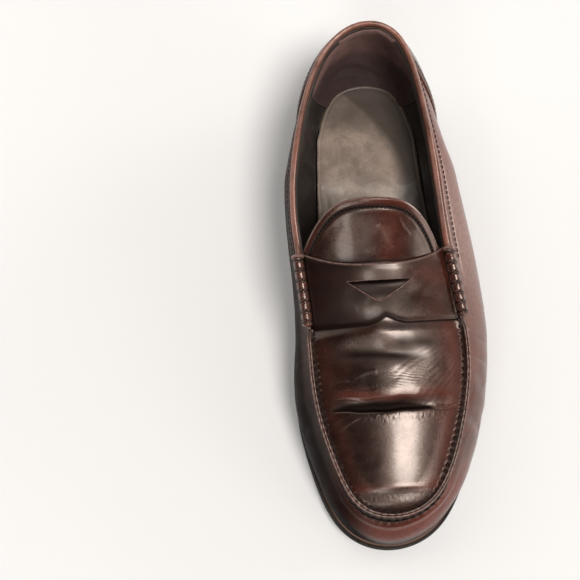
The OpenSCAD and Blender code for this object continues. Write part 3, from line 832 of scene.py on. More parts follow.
def make_wall():
    count = 1560
    u = np.arange(count) * STATIONS / count
    base = outer_base(u)
    share = 1 - (1 - np.linspace(0, 1, 64)) ** 1.25
    uu = np.repeat(u[:, None], len(share), 1)
    vv = base[:, None] * share
    face = wall_at(uu, vv)
    face = face - wall_in(uu, vv) * wall_relief(uu, vv, face)[..., None]
    fold = lip_height(u) / LIP
    thick = np.where(fold > 0.5, 1.0, 0.7)[:, None]
    wave = 0.10 * medium(u * 14, 0.3 + 0 * u) + 0.10 * (stitch_phase(u) * fold)
    climb, ridge = lip_side(u, face[:, -1], 9, 1, thick, 1.02, 0.28, wave)
    inner_u, inner_v = np.broadcast_arrays(u[:, None], np.linspace(0.999, 0.0, 22))
    inside = ply_at(inner_u, inner_v, LEATHER_T - 0.15 + 0 * inner_u)
    points = np.concatenate([face, climb, ridge, inside], 1)
    faces = grid_faces(count, points.shape[1], True, True)
    wall = make_piece("moccasin_wall_leather", "moccasin_wall", points, faces, calf_wall)
    # The columns where the face, the climb and the top of the lip end.
    a, b, c = np.cumsum([face.shape[1], climb.shape[1], ridge.shape[1]])
    x, y = face[..., 0], face[..., 1]
    toe = toe_share(u)[:, None]
    seam = side_fade(u, 4.9, 5.2)[:, None] * (0.4 + 0.6 * toe)
    wear_and_sheen, dirt_and_shade, red = np.zeros((3, *points.shape[:2]))
    worn = fold * (0.62 + 0.38 * sharp(u * 22, 0 * u + 0.5))
    wear_and_sheen[:, b - 2:c - 1] = worn[:, None] * [0.15, 0.55, 0.95, 0.75, 0.25, 0.35, 0.2]
    # Painted sheen high on the outer side's wall.
    wear_and_sheen[:, :a] = 0.5 * ease(20, 45, x) * bump(vv, 0.8, 0.3) * ease(-45, 25, y)
    # Painted shade in the valley under the seam and at the wall's foot.
    dirt_and_shade[:, :a] = 0.8 * seam * bump(vv, base[:, None], 0.014) + 0.6 * bump(vv, 0, 0.03)
    # Painted shade and a painted dark reflection along the inner side.
    dirt_and_shade[:, :a] += 0.92 * ease(5, 30, -x) * (1 - 0.5 * ease(0.75, 1, vv))
    # Painted shade low round the toe, which also dulls the reflection there.
    dirt_and_shade[:, :a] += 0.5 * toe * bump(vv, 0.24, 0.14)
    # Painted shade up the climb from the valley, and on the hidden face between the two leathers.
    dirt_and_shade[:, a:b - 3] = 0.75 * seam * (1 - np.arange(1, b - a - 2) / (b - a)) ** 0.8 + 0.1
    dirt_and_shade[:, c - 1:c + 2] = 0.9
    red[:, :a] = 0.95 * toe * bump(vv, 0.60, 0.24) + 0.3 * ease(0, 30, x) + 0.15
    red[:, :a] += 0.25 * (1 - side_fade(u, 2, 4.5))[:, None]
    paint(wall, wear_and_sheen, dirt_and_shade, red)


make_wall()

# ---------------------------------------------------------------- the plug
edge_w = np.linspace(0, 4.8, 1600)
left_edge = valley_at(TOE - edge_w)
right_edge = valley_at(TOE + edge_w)


def plug_chord(w, k):
    """One coordinate of the plug's edge on the lateral and the medial side, at w."""
    return np.interp(w, edge_w, left_edge[:, k]), np.interp(w, edge_w, right_edge[:, k])


def chord_of(x, y):
    """The stations back from the toe, and the share across, of points seen from above."""
    middle = (left_edge[:, 1] + right_edge[:, 1]) / 2
    skew = (left_edge[:, 1] - right_edge[:, 1]) / 2
    t = np.zeros_like(x)
    for _ in range(8):
        w = np.interp(y, middle, edge_w)
        w = np.interp(y - t * np.interp(w, edge_w, skew), middle, edge_w)
        a, b = plug_chord(w, 0)
        t = np.clip((x - (a + b) / 2) / np.maximum((a - b) / 2, 0.5), -1, 1)
    return w, t


def plug_height(x, y):
    """The plug's plain height at x and y, and where that lies on its chords."""
    w, t = chord_of(x, y)
    a, b = plug_chord(w, 2)
    crown = smooth_table(CROWN, w) - 0.5 * bump(w, 0.8, 0.7)
    return (a + b) / 2 + t * (a - b) / 2 + crown * (1 - t * t), w, t


def strap_front(t):
    """The strap's front edge, in stations back from the toe, with its notch."""
    notch = np.maximum(0, 1 - np.abs(t) / 0.28) ** 1.7
    return 3.96 + 0.04 * t * t + 0.1125 * notch


def strap_back(t):
    """The strap's back edge, in stations back from the toe."""
    return 4.7 + 0.25 * np.abs(t) ** 2.5


SLIT_X = float(instep_at(4.4, -0.04)[0])
SLIT_Y = float(instep_at(4.53, 0.0)[1])


def slit_rear(x):
    """Where the rear edge of the strap's slit lies."""
    return SLIT_Y + 0.035 * (x - SLIT_X)


def fold_line(x):
    """Where the plug's main fold lies."""
    return -73.3 + 0.0012 * (x + 8) ** 2 + 0.35 * np.sin(x / 6.5) + 0.18 * np.sin(x / 2.3)


def toe_line(x):
    """Where the kink over the toes lies."""
    return 0.04 * x - 0.0015 * x * x - 113.2


def plug_relief(x, y, gap):
    """Creases of the worn plug. gap is the distance to the valley of the seam."""
    calm = 0.25 + 0.75 * ease(-76, -66, y)
    r = calm * (0.24 * soft(x / 19 + 3, y / 23) + 0.09 * medium(x / 7, y / 8))
    inside = ease(0, 6, gap)
    # The main fold: a step down on the heel side, then a roll that rises behind it.
    d = y - fold_line(x)
    reach = window(-38, -8, -4, 34, x)
    step = -1.9 * window(-0.8, 1.9, 1.9, 8.5, d)
    roll = 0.6 * bump(d, 10.5, 6.0)
    r = r + reach * inside * (step + roll + 0.25 * bump(d, -2.5, 2.5))
    r = r - 0.2 * bump(d, 0, 0.5) * window(-36, -30, 32, 37, x) * ease(0, 2, gap)
    # The soft valley in front of the strap.
    v = y + 43.5 + 1.2 * np.sin(x / 16)
    broad = window(-40, -20, 2, 26, x)
    r = r + inside * broad * (-0.75 * bump(v, 0, 4.6) + 0.35 * bump(v, 9.0, 5.5))
    r = r + 0.5 * bump(x, -10, 7) * bump(y, -29, 4.5)
    # Under the strap's slit the leather sinks away.
    back = y - slit_rear(x)
    hollow = bump(x - SLIT_X, 0, 15) * window(-13, -7, 2, 7, back)
    r = r - hollow * (1.0 + 1.6 * bump(back, 0.6, 2.4))
    # The kink over the toes.
    k = y - toe_line(x)
    kink = 0.14 * bump(k, 0.9, 1.2) - 0.15 * window(-10, -4, -3.2, 0.4, k)
    r = r + window(-22, -12, 9, 19, x) * kink
    r = r + inside * 0.03 * sharp(x / 1.1, y / 1.4) * ease(0.5, 3.0, -k)
    r = r + strokes(x, y, *PLUG_CREASES) * ease(0, 2, gap)
    # A fan of fine wrinkles from the lateral seam towards the middle.
    fan_x, fan_y = 52.0, -24.0
    reach = np.hypot(x - fan_x, y - fan_y)
    angle = np.arctan2(y - fan_y, x - fan_x)
    rays = np.sin(angle * 95 + 2.2 * soft(x / 9, y / 9)) * (0.6 + 0.4 * medium(x / 5, y / 5))
    fan = window(18, 28, 48, 70, reach) * window(-2.75, -2.62, -2.2, -2.05, angle)
    r = r + 0.030 * rays * fan * inside
    # The break: fine wrinkles across the flexed middle.
    flex = bump(y, -57, 9) * window(-36, -28, 16, 32, x)
    warp = y + 2.2 * soft(x / 12, y / 12) + 0.7 * medium(x / 4, y / 4)
    r = r + inside * flex * 0.028 * np.sin(warp * 4.4) * (0.4 + 0.6 * medium(x / 5 + 9, y / 2.0))
    behind = bump(d, 1.0, 4.0) + bump(d, -3.5, 2.0)
    crinkle = sharp(x / 0.8, y / 1.3) + 0.6 * sharp(x / 1.7 + 5, y / 2.2)
    r = r + inside * behind * 0.032 * crinkle * window(-34, -28, 24, 34, x)
    return r


def make_plug():
    rows, cols = 450, 210
    w = 4.74 * (np.arange(1, rows + 1) / rows) ** 1.15
    t = np.linspace(-1, 1, cols)
    t = np.sign(t) * (1 - (1 - np.abs(t)) ** 1.12)
    a, b = valley_at(TOE - w), valley_at(TOE + w)
    mid, half = (a + b) / 2, (a - b) / 2
    x = mid[:, :1] + half[:, :1] * t
    y = mid[:, 1:2] + half[:, 1:2] * t
    push = 9.0 * window(0, 0.7, 0.9, 3.9, w) * np.sqrt(np.clip(w, 0, 1))
    y = y + push[:, None] * (1 - t**2)
    height, ww, tt = plug_height(x, y)
    height[:, 0], height[:, -1] = b[:, 2], a[:, 2]
    gap = distance_to(np.concatenate([b[::-1][::8], a[::8]]), x, y)
    gap[:, 0] = gap[:, -1] = 0
    side = np.where(t[None, :] > 0, TOE - w[:, None], TOE + w[:, None])
    puff = 0.45 * window(0, 2.6, 2.4, 11, gap)
    fold = lip_height(side) / LIP
    pull = (0.14 * toe_share(side) - 0.22) * stitch_phase(side)
    pull = pull * bump(gap, 1.0, 0.9) * ease(0, 0.4, gap)
    z = height + fold * (puff + pull) + plug_relief(x, y, gap)
    top = np.stack([x, y, z], -1)
    # The lip, from the valley over its crest and down its outer side.
    u = np.concatenate([(TOE - w)[::-1], [TOE], TOE + w])
    out, valley = out_at(u), valley_at(u)
    wave = 0.10 * sharp(u * 11, 0.7 + 0 * u) + 0.08 * stitch_phase(u)
    climb, ridge = lip_side(u, valley, 8, -1, 1, 1.04, 0.3, wave)
    foot = valley + out * 1.35 - [0, 0, 1.35]
    under = valley - out * 0.4 - [0, 0, 1.35]
    strip = np.concatenate([valley[:, None], climb, ridge, foot[:, None], under[:, None]], 1)
    # One mesh: the top, its underside and the strip that joins their edges.
    low = top.copy()
    low[..., 2] -= LEATHER_T
    low[:, 0], low[:, -1] = under[rows + 1:], under[:rows][::-1]
    count = rows * cols
    parts = [top, low, strip, valley[rows], under[rows]]
    points = np.concatenate([part.reshape(-1, 3) for part in parts])
    faces = grid_faces(rows, cols)
    faces += [f[::-1] for f in grid_faces(rows, cols, start=count)]
    pole = len(points) - 2
    for j in range(cols - 1):
        faces.append([pole, j, j + 1])
        faces.append([pole + 1, count + j + 1, count + j])
        k = (rows - 1) * cols + j
        faces.append([k, count + k, count + k + 1, k + 1])
    size = strip.shape[1]
    faces += [f[::-1] for f in grid_faces(len(u), size, start=2 * count)]
    first = list(range(2 * count, 2 * count + size))
    faces += [first, [i + (len(u) - 1) * size for i in first][::-1]]
    points, faces, pick = weld(points, faces)
    plug = make_piece("plug_leather", "plug", points, faces, calf)
    strip_fold = lip_height(u) / LIP
    worn = strip_fold * (0.6 + 0.4 * sharp(u * 19, 0 * u + 2.5))
    strip_wear, strip_shade = np.zeros((2, len(u), size))
    strip_wear[:, 7:14] = worn[:, None] * [0.12, 0.5, 0.9, 0.7, 0.25, 0.35, 0.2]
    # Painted shade up the climb from the valley, and under the lip's outer side.
    valley_shade = 0.25 * strip_fold * (1 - 0.75 * toe_share(u))
    strip_shade[:, :7] = valley_shade[:, None] * np.linspace(1, 0.3, 7)
    strip_shade[:, 14:] = 0.9
    # Painted shade along the seam's valley.
    dirt_and_shade = 0.3 * bump(gap, 0, 1.1) * fold * (1 - 0.75 * toe_share(side))
    d, k, back = y - fold_line(x), y - toe_line(x), y - slit_rear(x)
    span = window(-34, -24, 20, 33, x)
    lens = np.clip(1 - ((x + 7) / 29) ** 2, 0, 1)
    thick = 1.2 + 5.0 * lens
    # Painted shade in the main fold's dark face and on the rise behind it.
    dirt_and_shade = dirt_and_shade + 0.85 * ease(0, 0.25, lens) * window(-0.6, 0.4, thick - 2.2, thick + 1.2, d)
    dirt_and_shade = dirt_and_shade + span * (0.3 * bump(d, 0.2, 0.6) + 0.45 * bump(d, 5.2, 2.2) * (1 - lens))
    front = strap_front(tt)
    # A painted shadow under the strap's front edge.
    dirt_and_shade = dirt_and_shade + 0.85 * window(front - 0.06, front - 0.015, front + 0.1, front + 0.2, ww)
    low = y + 44.5 + 1.2 * np.sin(x / 16)
    # Painted shade in the soft valley in front of the strap.
    dirt_and_shade = dirt_and_shade + 0.8 * bump(low, 0, 2.8) * window(-40, -18, 0, 30, x)
    # A painted shadow under the slit's rear edge, and painted shade round the slit.
    dirt_and_shade = dirt_and_shade + 0.92 * bump(back, -0.1, 1.0) * window(-18, -12, 12, 17, x - SLIT_X)
    dirt_and_shade = dirt_and_shade + 0.6 * (1 - ease(8, 12, np.abs(back)))
    # Darker and duller over the toes, in front of the kink.
    dirt_and_shade = dirt_and_shade + 0.36 * ease(0.0, 2.4, -k) * (1 - 0.35 * bump(y, -120, 3))
    # Painted shade that dims the gloss between the soft valley and the strap.
    dirt_and_shade = dirt_and_shade + 0.6 * bump(y, -37.5, 3.6) * window(-4, 6, 18, 28, x)
    wear_and_sheen = 0.16 * bump(k, 0.9, 1.0) * window(-20, -12, 9, 17, x) + 0.05 * bump(d, 8.5, 3.0) * span
    red = 0.45 * bump(x, 30, 14) + 0.35 * bump(k, 1.5, 3) + 0.25 * bump(gap, 6, 4)
    red = red + span * (0.45 * bump(d, 9, 4) + 0.5 * bump(d, 8.0, 2.0))
    # One value a point: the top, its underside, the strip and the two at the toe.
    values = (
        np.concatenate([face.ravel(), np.zeros(count), edge.ravel(), [0, 0]])
        for face, edge in ((wear_and_sheen, strip_wear), (dirt_and_shade, strip_shade), (red, 0 * strip_wear))
    )
    paint(plug, *values, pick)


make_plug()


# ---------------------------------------------------------------- the strap
STRAP_T = 1.5
STRAP_LIFT = 0.45
SLIT = [(-17.0, -0.6), (17.0, 0.6), (1.2, -10.0), (-1.2, -10.0)]


def strap_wave(p):
    """Small dents and pulls over the strap, by place."""
    x, y = p[..., 0], p[..., 1]
    r = 0.16 * soft(x / 15 + 7, y / 12) + 0.05 * medium(x / 5, y / 6)
    return r + strokes(
        x, y, ([(-20, -20), (-12, -16), (-7, -14)], 3.0, 0.18),
        ([(9, -14), (16, -11), (22, -4)], 3.0, 0.15),
    )


def make_strap():
    rows, cols = 84, 260
    t = np.linspace(-1, 1, cols)
    s = np.linspace(0, 1, rows)[:, None]
    front, back = strap_front(t), strap_back(t)
    w = front + (back - front) * s
    tt = np.broadcast_to(t, w.shape) * 0.985
    top = instep_at(w, tt, STRAP_LIFT + STRAP_T)
    edge = ease(0.92, 1.0, np.abs(t))[None, :]
    top[..., 2] += 0.7 * edge**1.5 + strap_wave(top) * (1 - edge)
    hem = bump(s, 0, 0.05) + bump(s, 1, 0.05)
    top[..., 2] -= 0.28 * hem
    n = grid_normals(top)
    points, faces = sheet_solid(top, n, STRAP_T, 6)
    strap = make_piece("saddle_strap_leather", "saddle_strap", points, faces, calf)
    strap.data.materials.append(cut_edge)
    # The slit: its front walls lean open and catch the light, its rear wall is undercut.
    corners = np.array(SLIT) + [SLIT_X, SLIT_Y]
    open_out = np.array([(-0.6, -0.3), (0.6, -0.3), (0.3, -0.95), (-0.3, -0.95)])

    def strap_z(q):
        near = np.hypot(top[..., 0] - q[0], top[..., 1] - q[1]).argmin()
        return top.reshape(-1, 3)[near, 2]

    ring = []
    for share, lift in ((-0.4, -4.5), (0.0, -STRAP_T), (1.0, 0.0), (3.0, 3.0)):
        for q, o in zip(corners, open_out):
            ring.append((*(q + o * share * 0.85), strap_z(q) + lift))
    cut_faces = [[0, 1, 2, 3], [15, 14, 13, 12]]
    for k in range(0, 12, 4):
        for j in range(4):
            m = (j + 1) % 4
            cut_faces.append([k + j, k + 4 + j, k + 4 + m, k + m])
    cutter = make_piece("slit_cutter", None, ring, cut_faces, cut_edge, None)
    # The rear wall of the slit takes the dark calf rather than the cut edge: painted shade in the
    # undercut.
    cutter.data.materials.append(calf)
    for polygon in cutter.data.polygons:
        polygon.use_smooth = False
        polygon.material_index = int({i % 4 for i in polygon.vertices} == {0, 1})
    tx, ty = top[..., 0], top[..., 1]
    x, y = points[:, 0], points[:, 1]
    rear = (y - np.interp(x, tx[0], ty[0]))[2 * top[..., 0].size:] > 11.2
    wear_and_sheen = sheet_values(points, 0.22 * bump(s, 1, 0.012) + 0 * w, np.where(rear, 0.5, 0.03))
    # Painted shade over the strap's inner half, all but two lit spots.
    lit = bump(tx, -12, 7) * np.maximum(bump(ty, -4.5, 4), bump(ty, -21, 4))
    inner_half_shade = 0.62 * (1 - ease(-12, 6, tx)) * (1 - lit)
    # Painted shade at the strap's ends by the rolls and along its front edge.
    strap_face_shade = 0.9 * edge**2 + 0.25 * bump(s, 0, 0.06) + inner_half_shade
    # The cut edges are painted dark as shade, all but the rear one.
    dirt_and_shade = sheet_values(points, strap_face_shade, np.where(rear, 0.0, 0.9))
    red = 0.35 * bump(x, 24, 12) + 0.25 * bump(y, -3, 5)
    paint(strap, wear_and_sheen, dirt_and_shade, red)
    cut = strap.modifiers.new("slit", "BOOLEAN")
    cut.operation, cut.solver, cut.object = "DIFFERENCE", "EXACT", cutter
    cut.material_mode = "TRANSFER"
    scene.view_layers[0].update()
    graph = bpy.context.evaluated_depsgraph_get()
    shape = bpy.data.meshes.new_from_object(strap.evaluated_get(graph))
    strap.modifiers.clear()
    strap.data = shape
    bpy.data.objects.remove(cutter)


make_strap()


def roll_at(side, w):
    """The middle of the roll of leather at an end of the strap."""
    u = TOE + side * np.asarray(w, float)
    p = ply_at(u, np.ones_like(u), -0.1 + 0 * u)
    p[..., 2] += 4.0
    return p


ROLL_R = 2.75
ROLL_FROM, ROLL_SPAN = 4.02, 0.9
WRAPS, WRAP_PITCH = 7, 0.13


def wrap_pull(w, middle):
    """A wave along a roll: 1 under each pair of threads, -1 between them."""
    return np.cos(2 * math.pi * (w - ROLL_FROM - middle) / WRAP_PITCH)


def roll_shape(w):
    """Radius of a roll at station w, and its shares outwards and upwards, with its tab."""
    s = (w - ROLL_FROM) / (ROLL_SPAN + 0.04)
    radius = ROLL_R * (1 - 0.10 * ease(0.2, 1, wrap_pull(w, 0.075)))
    tab = ease(0.90, 0.985, s)
    past = np.clip((np.abs(s - 0.5) - 0.455) / 0.045, 0, 1)
    return radius * np.maximum(np.sqrt(1 - past**2), 0.02), 1 + 0.30 * tab, 1 - 0.16 * tab


def make_roll(name, side):
    turn = np.linspace(0, math.pi, 190)
    w = ROLL_FROM - 0.01 + (ROLL_SPAN + 0.06) * (0.5 - 0.5 * np.cos(turn))
    path = roll_at(side, w)
    out, up = square_to(path, out_at(TOE + side * w))
    w = w[:, None]
    radius, wide, high = roll_shape(w)
    a = round_angles(40)
    # The leather rolls under on the outside, so the section is a little flat there.
    section = 1 + 0.05 * np.cos(2 * a) - 0.07 * bump(a, 0.35, 0.25)
    r = radius * section * (1 + 0.02 * medium(w * 40, a * 1.6 + side))
    rings = rings_round(path, (r * np.cos(a) * wide, r * np.sin(a) * high), out, up)
    roll = make_piece(name + "_leather", name, rings, swept_faces(*r.shape), calf)
    pull = wrap_pull(w, 0.0775)
    wear_and_sheen = 0.12 * bump(a, 1.2, 0.5) * ease(0.1, 0.9, -pull)
    wear_and_sheen = wear_and_sheen + 0.45 * ease(0.95, 1.0, (w - ROLL_FROM) / ROLL_SPAN)
    # Painted shade where the thread pairs pinch the roll, and along its inner side against the
    # strap.
    dirt_and_shade = 0.6 * ease(0.6, 1.0, pull) * (0.6 + 0.4 * bump(a, math.pi, 1.2))
    paint(roll, wear_and_sheen, dirt_and_shade + 0.6 * bump(a, math.pi, 0.5), 0.55)


def make_roll_thread(name, side):
    a = np.linspace(-0.62 * math.pi, 1.30 * math.pi, 44)
    turn = round_angles(8)
    wraps = []
    for k in range(2 * WRAPS):
        w = ROLL_FROM + 0.06 + WRAP_PITCH * (k // 2) + 0.030 * (k % 2)
        u = w + 0.012 * side * np.cos(a)
        path = roll_at(side, u)
        radius, wide, high = roll_shape(np.full(len(a), w))
        r = radius + 0.06
        loop = path + (r * np.cos(a) * wide)[:, None] * out_at(TOE + side * u)
        loop[:, 2] += r * np.sin(a) * high
        t = unit(np.gradient(loop, axis=0))
        across = unit(np.cross(t, unit(loop - path)))
        section = 0.29 * np.cos(turn), 0.29 * np.sin(turn)
        rings = rings_round(loop, section, across, np.cross(across, t))
        wraps.append((rings.reshape(-1, 3), swept_faces(len(a), len(turn))))
    make_piece(name + "_wraps", name, *joined(wraps), thread)


for roll_side, roll_name in ((-1, "lateral"), (1, "medial")):
    make_roll("strap_roll_" + roll_name, roll_side)
    make_roll_thread("roll_thread_" + roll_name, roll_side)

# ---------------------------------------------------------------- the tongue
TONGUE_MID, TONGUE_HALF = -10.5, 36.0
TONGUE_ROOT_Y, TONGUE_TIP_Y, TONGUE_ROOT_Z = 2.5, 32.5, 77.0
TONGUE_T = 1.5


def tongue_back(t):
    """The tongue's free edge."""
    return TONGUE_TIP_Y - 21 * np.abs(t) ** 3.5


def tongue_front(t):
    """The tongue's root, under the strap."""
    return TONGUE_ROOT_Y + 1 + 8 * t * t


def tongue_z(x, y):
    """The plain height of the tongue."""
    return TONGUE_ROOT_Z + 0.6 * (y - TONGUE_ROOT_Y) - 0.0092 * (x - TONGUE_MID) ** 2


def tongue_relief(x, y):
    r = 0.18 * soft(x / 12 + 2, y / 11) + 0.05 * medium(x / 4, y / 5)
    return r + strokes(
        x, y, ([(-5.3, 20.6), (-2.6, 15.6), (0.5, 9.8)], 1.0, -0.22),
        ([(-7.2, 20.0), (-4.6, 15.0), (-2.0, 9.6)], 1.5, 0.2),
        ([(2.5, 25), (5.5, 19), (9.5, 15.5)], 1.0, 0.16),
    )


def tongue_edge_gap(s, t):
    """Rough distance in from the tongue's free edge, in millimetres."""
    y = tongue_front(t) + (tongue_back(t) - tongue_front(t)) * s
    slope = 21 * 3.5 * np.abs(t) ** 2.5 / TONGUE_HALF
    return (tongue_back(t) - y) / np.sqrt(1 + slope**2)


def tongue_at(s, t, lift=0.0):
    """A point of the tongue: s from its root to its free edge, t across it."""
    s, t = np.broadcast_arrays(s, t)
    x = TONGUE_MID + TONGUE_HALF * t
    y = tongue_front(t) + (tongue_back(t) - tongue_front(t)) * s
    return np.stack([x, y, tongue_z(x, y) + lift], -1)


def make_tongue():
    t = np.sin(np.linspace(-1.42, 1.42, 200)) / math.sin(1.42)
    s, tt = np.broadcast_arrays(np.linspace(-0.26, 1, 120)[:, None], t)
    top = tongue_at(s, tt)
    gap = tongue_edge_gap(s, tt)
    x, y = top[..., 0], top[..., 1]
    # A band outside the stitches stands proud, and the edge rolls over.
    roll = 0.06 * bump(gap, 2.0, 1.4) - 0.5 * (1 - ease(0, 1.0, gap)) ** 2
    roll = roll - 0.24 * bump(gap, 4.2, 0.9) + 0.10 * bump(gap, 6.4, 1.6)
    root = ease(TONGUE_ROOT_Y - 3, TONGUE_ROOT_Y + 5, y)
    top[..., 2] += roll + tongue_relief(x, y) * root - 0.35 * (1 - root)
    n = grid_normals(top)
    points, faces = sheet_solid(top, n, TONGUE_T, 8)
    tongue = make_piece("tongue_leather", "tongue", points, faces, calf, None)
    count = gap.size
    gaps = np.concatenate([gap.ravel(), gap.ravel(), np.zeros(len(points) - 2 * count)])
    wear_and_sheen = 0.30 * bump(gaps, 0.2, 0.5)
    wear_and_sheen[2 * count:] = 0.22
    wear_and_sheen[:count] += (0.16 * bump(x, -3, 2.5) * bump(y, 15, 5)).ravel()
    # Painted shade in the groove along the stitches.
    dirt_and_shade = 0.85 * bump(gaps, 4.2, 1.0)
    # A painted shadow where the tongue runs under the strap.
    dirt_and_shade[:count] += (0.7 * (1 - ease(1.5, 6, y - 2.5 * np.abs(tt) ** 2))).ravel()
    red = 0.3 * bump(gaps, 1.7, 2.0) + 0.15
    red[:count] += (0.5 * bump(x, -1, 9)).ravel()
    paint(tongue, wear_and_sheen, dirt_and_shade, red)
    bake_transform(tongue)
    # Its lining.
    under = tongue_at(np.linspace(0.0, 0.97, 60)[:, None], 0.96 * t, -TONGUE_T - 0.1)
    sheet = sheet_solid(under, grid_normals(under), 0.9)
    liner = make_piece("tongue_lining_leather", "tongue_lining", *sheet, lining, None)
    paint(liner)
    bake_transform(liner)
    return top, n, gap


tongue_top, tongue_n, tongue_gap = make_tongue()


def tongue_row(depth):
    """A line over the tongue that stays depth inside its free edge, with its normals."""
    line, normal = [], []
    for j in range(tongue_gap.shape[1]):
        g = tongue_gap[:, j]
        if g.max() < depth + 0.2:
            continue
        i = int(np.argmin(np.abs(g - depth)))
        i = min(max(i, 1), len(g) - 2)
        k = i + 1 if g[i] > depth else i - 1
        share = np.clip((g[i] - depth) / (g[i] - g[k] + 1e-9), 0, 1)
        p = tongue_top[i, j] * (1 - share) + tongue_top[k, j] * share
        if p[1] > TONGUE_ROOT_Y + 6.5:
            line.append(p)
            normal.append(tongue_n[i, j])
    return np.array(line), np.array(normal)


def along(line, normal, pitch, length, start=0.0):
    """Stitch ends at an even pitch along a line of points."""
    run = np.concatenate([[0], np.cumsum(np.linalg.norm(np.diff(line, axis=0), axis=1))])
    at = np.arange(start, run[-1] - length, pitch)

    def pick(values, s):
        return np.stack([np.interp(s, run, values[:, k]) for k in range(3)], -1)

    return pick(line, at), pick(line, at + length), unit(pick(normal, at + length / 2))


def sew(name, node, seams, pitch, length, radius, material=thread, body="shoe"):
    """Stitches along seams. Each seam is a line, its normals and, if not 0, where it starts."""
    rows = [stitch_mesh(*along(p, n, pitch, length, *start), radius) for p, n, *start in seams]
    return make_piece(name, node, *joined(rows), material, body)


rows = sew(
    "tongue_stitches", "tongue_thread", [tongue_row(3.55), (*tongue_row(4.85), 1.1)],
    2.35, 1.7, 0.36, body=None,
)
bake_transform(rows)


# ---------------------------------------------------------------- the seam's stitches
def make_seam_thread():
    """The stitches in the valley, and those that come out below the seam on the wall."""
    a, b = stitch_from, stitch_to
    n = unit(np.array([0, 0, 1.0]) - 0.45 * out_at(a))
    inner = stitch_mesh(valley_at(a) + n * 0.1, valley_at(b) + n * 0.1, n, 0.42, 0.35)
    low, high = outer_base(a) - 0.002, outer_base(b) - 0.002
    n = unit(0.3 * out_at(a) - 0.8 * wall_in(a, low))
    rise = n * (0.55 * toe_share(a) - 0.5)[:, None]
    outer = stitch_mesh(wall_at(a, low) + rise, wall_at(b, high) + rise, n, 0.34)
    make_piece("seam_stitches", "seam_thread", *joined([inner, outer]), thread)


make_seam_thread()

# ---------------------------------------------------------------- topline and linings
BINDING_R = 1.6


def make_binding():
    u = np.linspace(-4.2, 4.2, 640)
    path = ply_at(u, np.ones_like(u), LEATHER_T / 2 + 0 * u)
    path[:, 2] += 2.45
    out, up = square_to(path, out_at(u))
    u, a = u[:, None], round_angles(26)
    r = BINDING_R * (1 + 0.03 * medium(u * 9, a * 0.8) + 0.02 * soft(u * 3, 0 * a))
    r = r * (1 + 0.10 * np.cos(2 * (a - 0.9)) + 0.10 * bump(a, 4.4, 0.7))
    rings = rings_round(path, (r * np.cos(a), r * np.sin(a)), out, up)
    piece = make_piece(
        "topline_binding_leather", "topline_binding", rings, swept_faces(*r.shape), piping,
    )
    wear_and_sheen = 0.35 * bump(a, 1.5, 0.5) * (0.5 + 0.5 * medium(u * 12, 0 * a + 2))
    # Painted shade where the binding meets the wall and the lining.
    dirt_and_shade = 0.75 * bump(a, 5.6, 0.7) + 0.85 * bump(a, 3.4, 0.6) + 0 * r
    paint(piece, wear_and_sheen, dirt_and_shade, 0.35 + 0.3 * soft(u * 4, 0 * a + 5))


make_binding()


def pad_rise(y):
    """How far the heel pad lifts the sock."""
    return 1.5 * ease(50, 70, y)


def tuck_share(u):
    """1 at the heel and 0 from TUCK_TO stations on, where the sock keeps its plain inset."""
    a = from_heel(u)
    return np.where(a < TUCK_TO, np.cos(math.pi / 2 * np.minimum(a, TUCK_TO) / TUCK_TO), 0)


def widened(p):
    """The waist of the footbed swells towards the medial side and its edge turns up."""
    share = ease(10, 38, -p[..., 0]) * window(12, 44, 52, 112, p[..., 1])
    p = p.copy()
    p[..., 0] -= 4.2 * share
    p[..., 2] += 2.4 * share**2
    return p


def sock_edge(u, more=0.0):
    """The sock's outline at station u, on the sock's own height."""
    p = inset_at(u, SOCK_INSET + more + HEEL_TUCK * tuck_share(u))
    z = tread_z(p[..., 1]) + SOCK_UP + 0.05 + pad_rise(p[..., 1])
    return np.concatenate([p, z[..., None]], -1)


def lining_face(u, v, depth):
    """The inside of the shoe: the wall's inner face, eased into the edge of the sock."""
    u, v = np.broadcast_arrays(np.asarray(u, float), np.asarray(v, float))
    p = ply_at(u, v, depth + 0 * u)
    low = sock_edge(u, -1.2)
    low = widened(low + np.array([0, 0, -0.9]))
    k = ease(0.02, 0.34, v)[..., None]
    return low * (1 - k) + p * k


def lining_relief(u, v):
    """Soft unevenness of the lining, with two upright creases."""
    r = 0.22 * soft(u * 4 + 1, v * 4) + 0.08 * medium(u * 11, v * 9)
    r = r + 0.35 * bump(np.mod(u, STATIONS), 3.0, 0.1) * bump(v, 0.5, 0.3)
    r = r + 0.30 * bump(np.mod(u, STATIONS), 2.5, 0.08) * bump(v, 0.55, 0.3)
    return r


def make_layer(name, node, material, u0, u1, v0, v1, depth, thickness, steps=80):
    """A sheet that follows the inside of the wall, depth millimetres in."""
    u, v = np.broadcast_arrays(np.linspace(u0, u1, steps)[:, None], np.linspace(v0, v1, 26))
    inner = ply_at(u, v, depth + thickness + 0 * u)
    piece = make_piece(name, node, *sheet_solid(inner, wall_in(u, v), thickness), material)
    paint(piece)
    return piece


def stood_up(face, u, height, lean):
    """A face with rows added to its top edge, which stand up inside the binding."""
    rise = np.linspace(0, 1, 8)[1:, None]
    top = face[:, -1:] + [0, 0, height] * rise
    return np.concatenate([face, top + out_at(u)[:, None] * lean * ease(0, 1, rise)], 1)


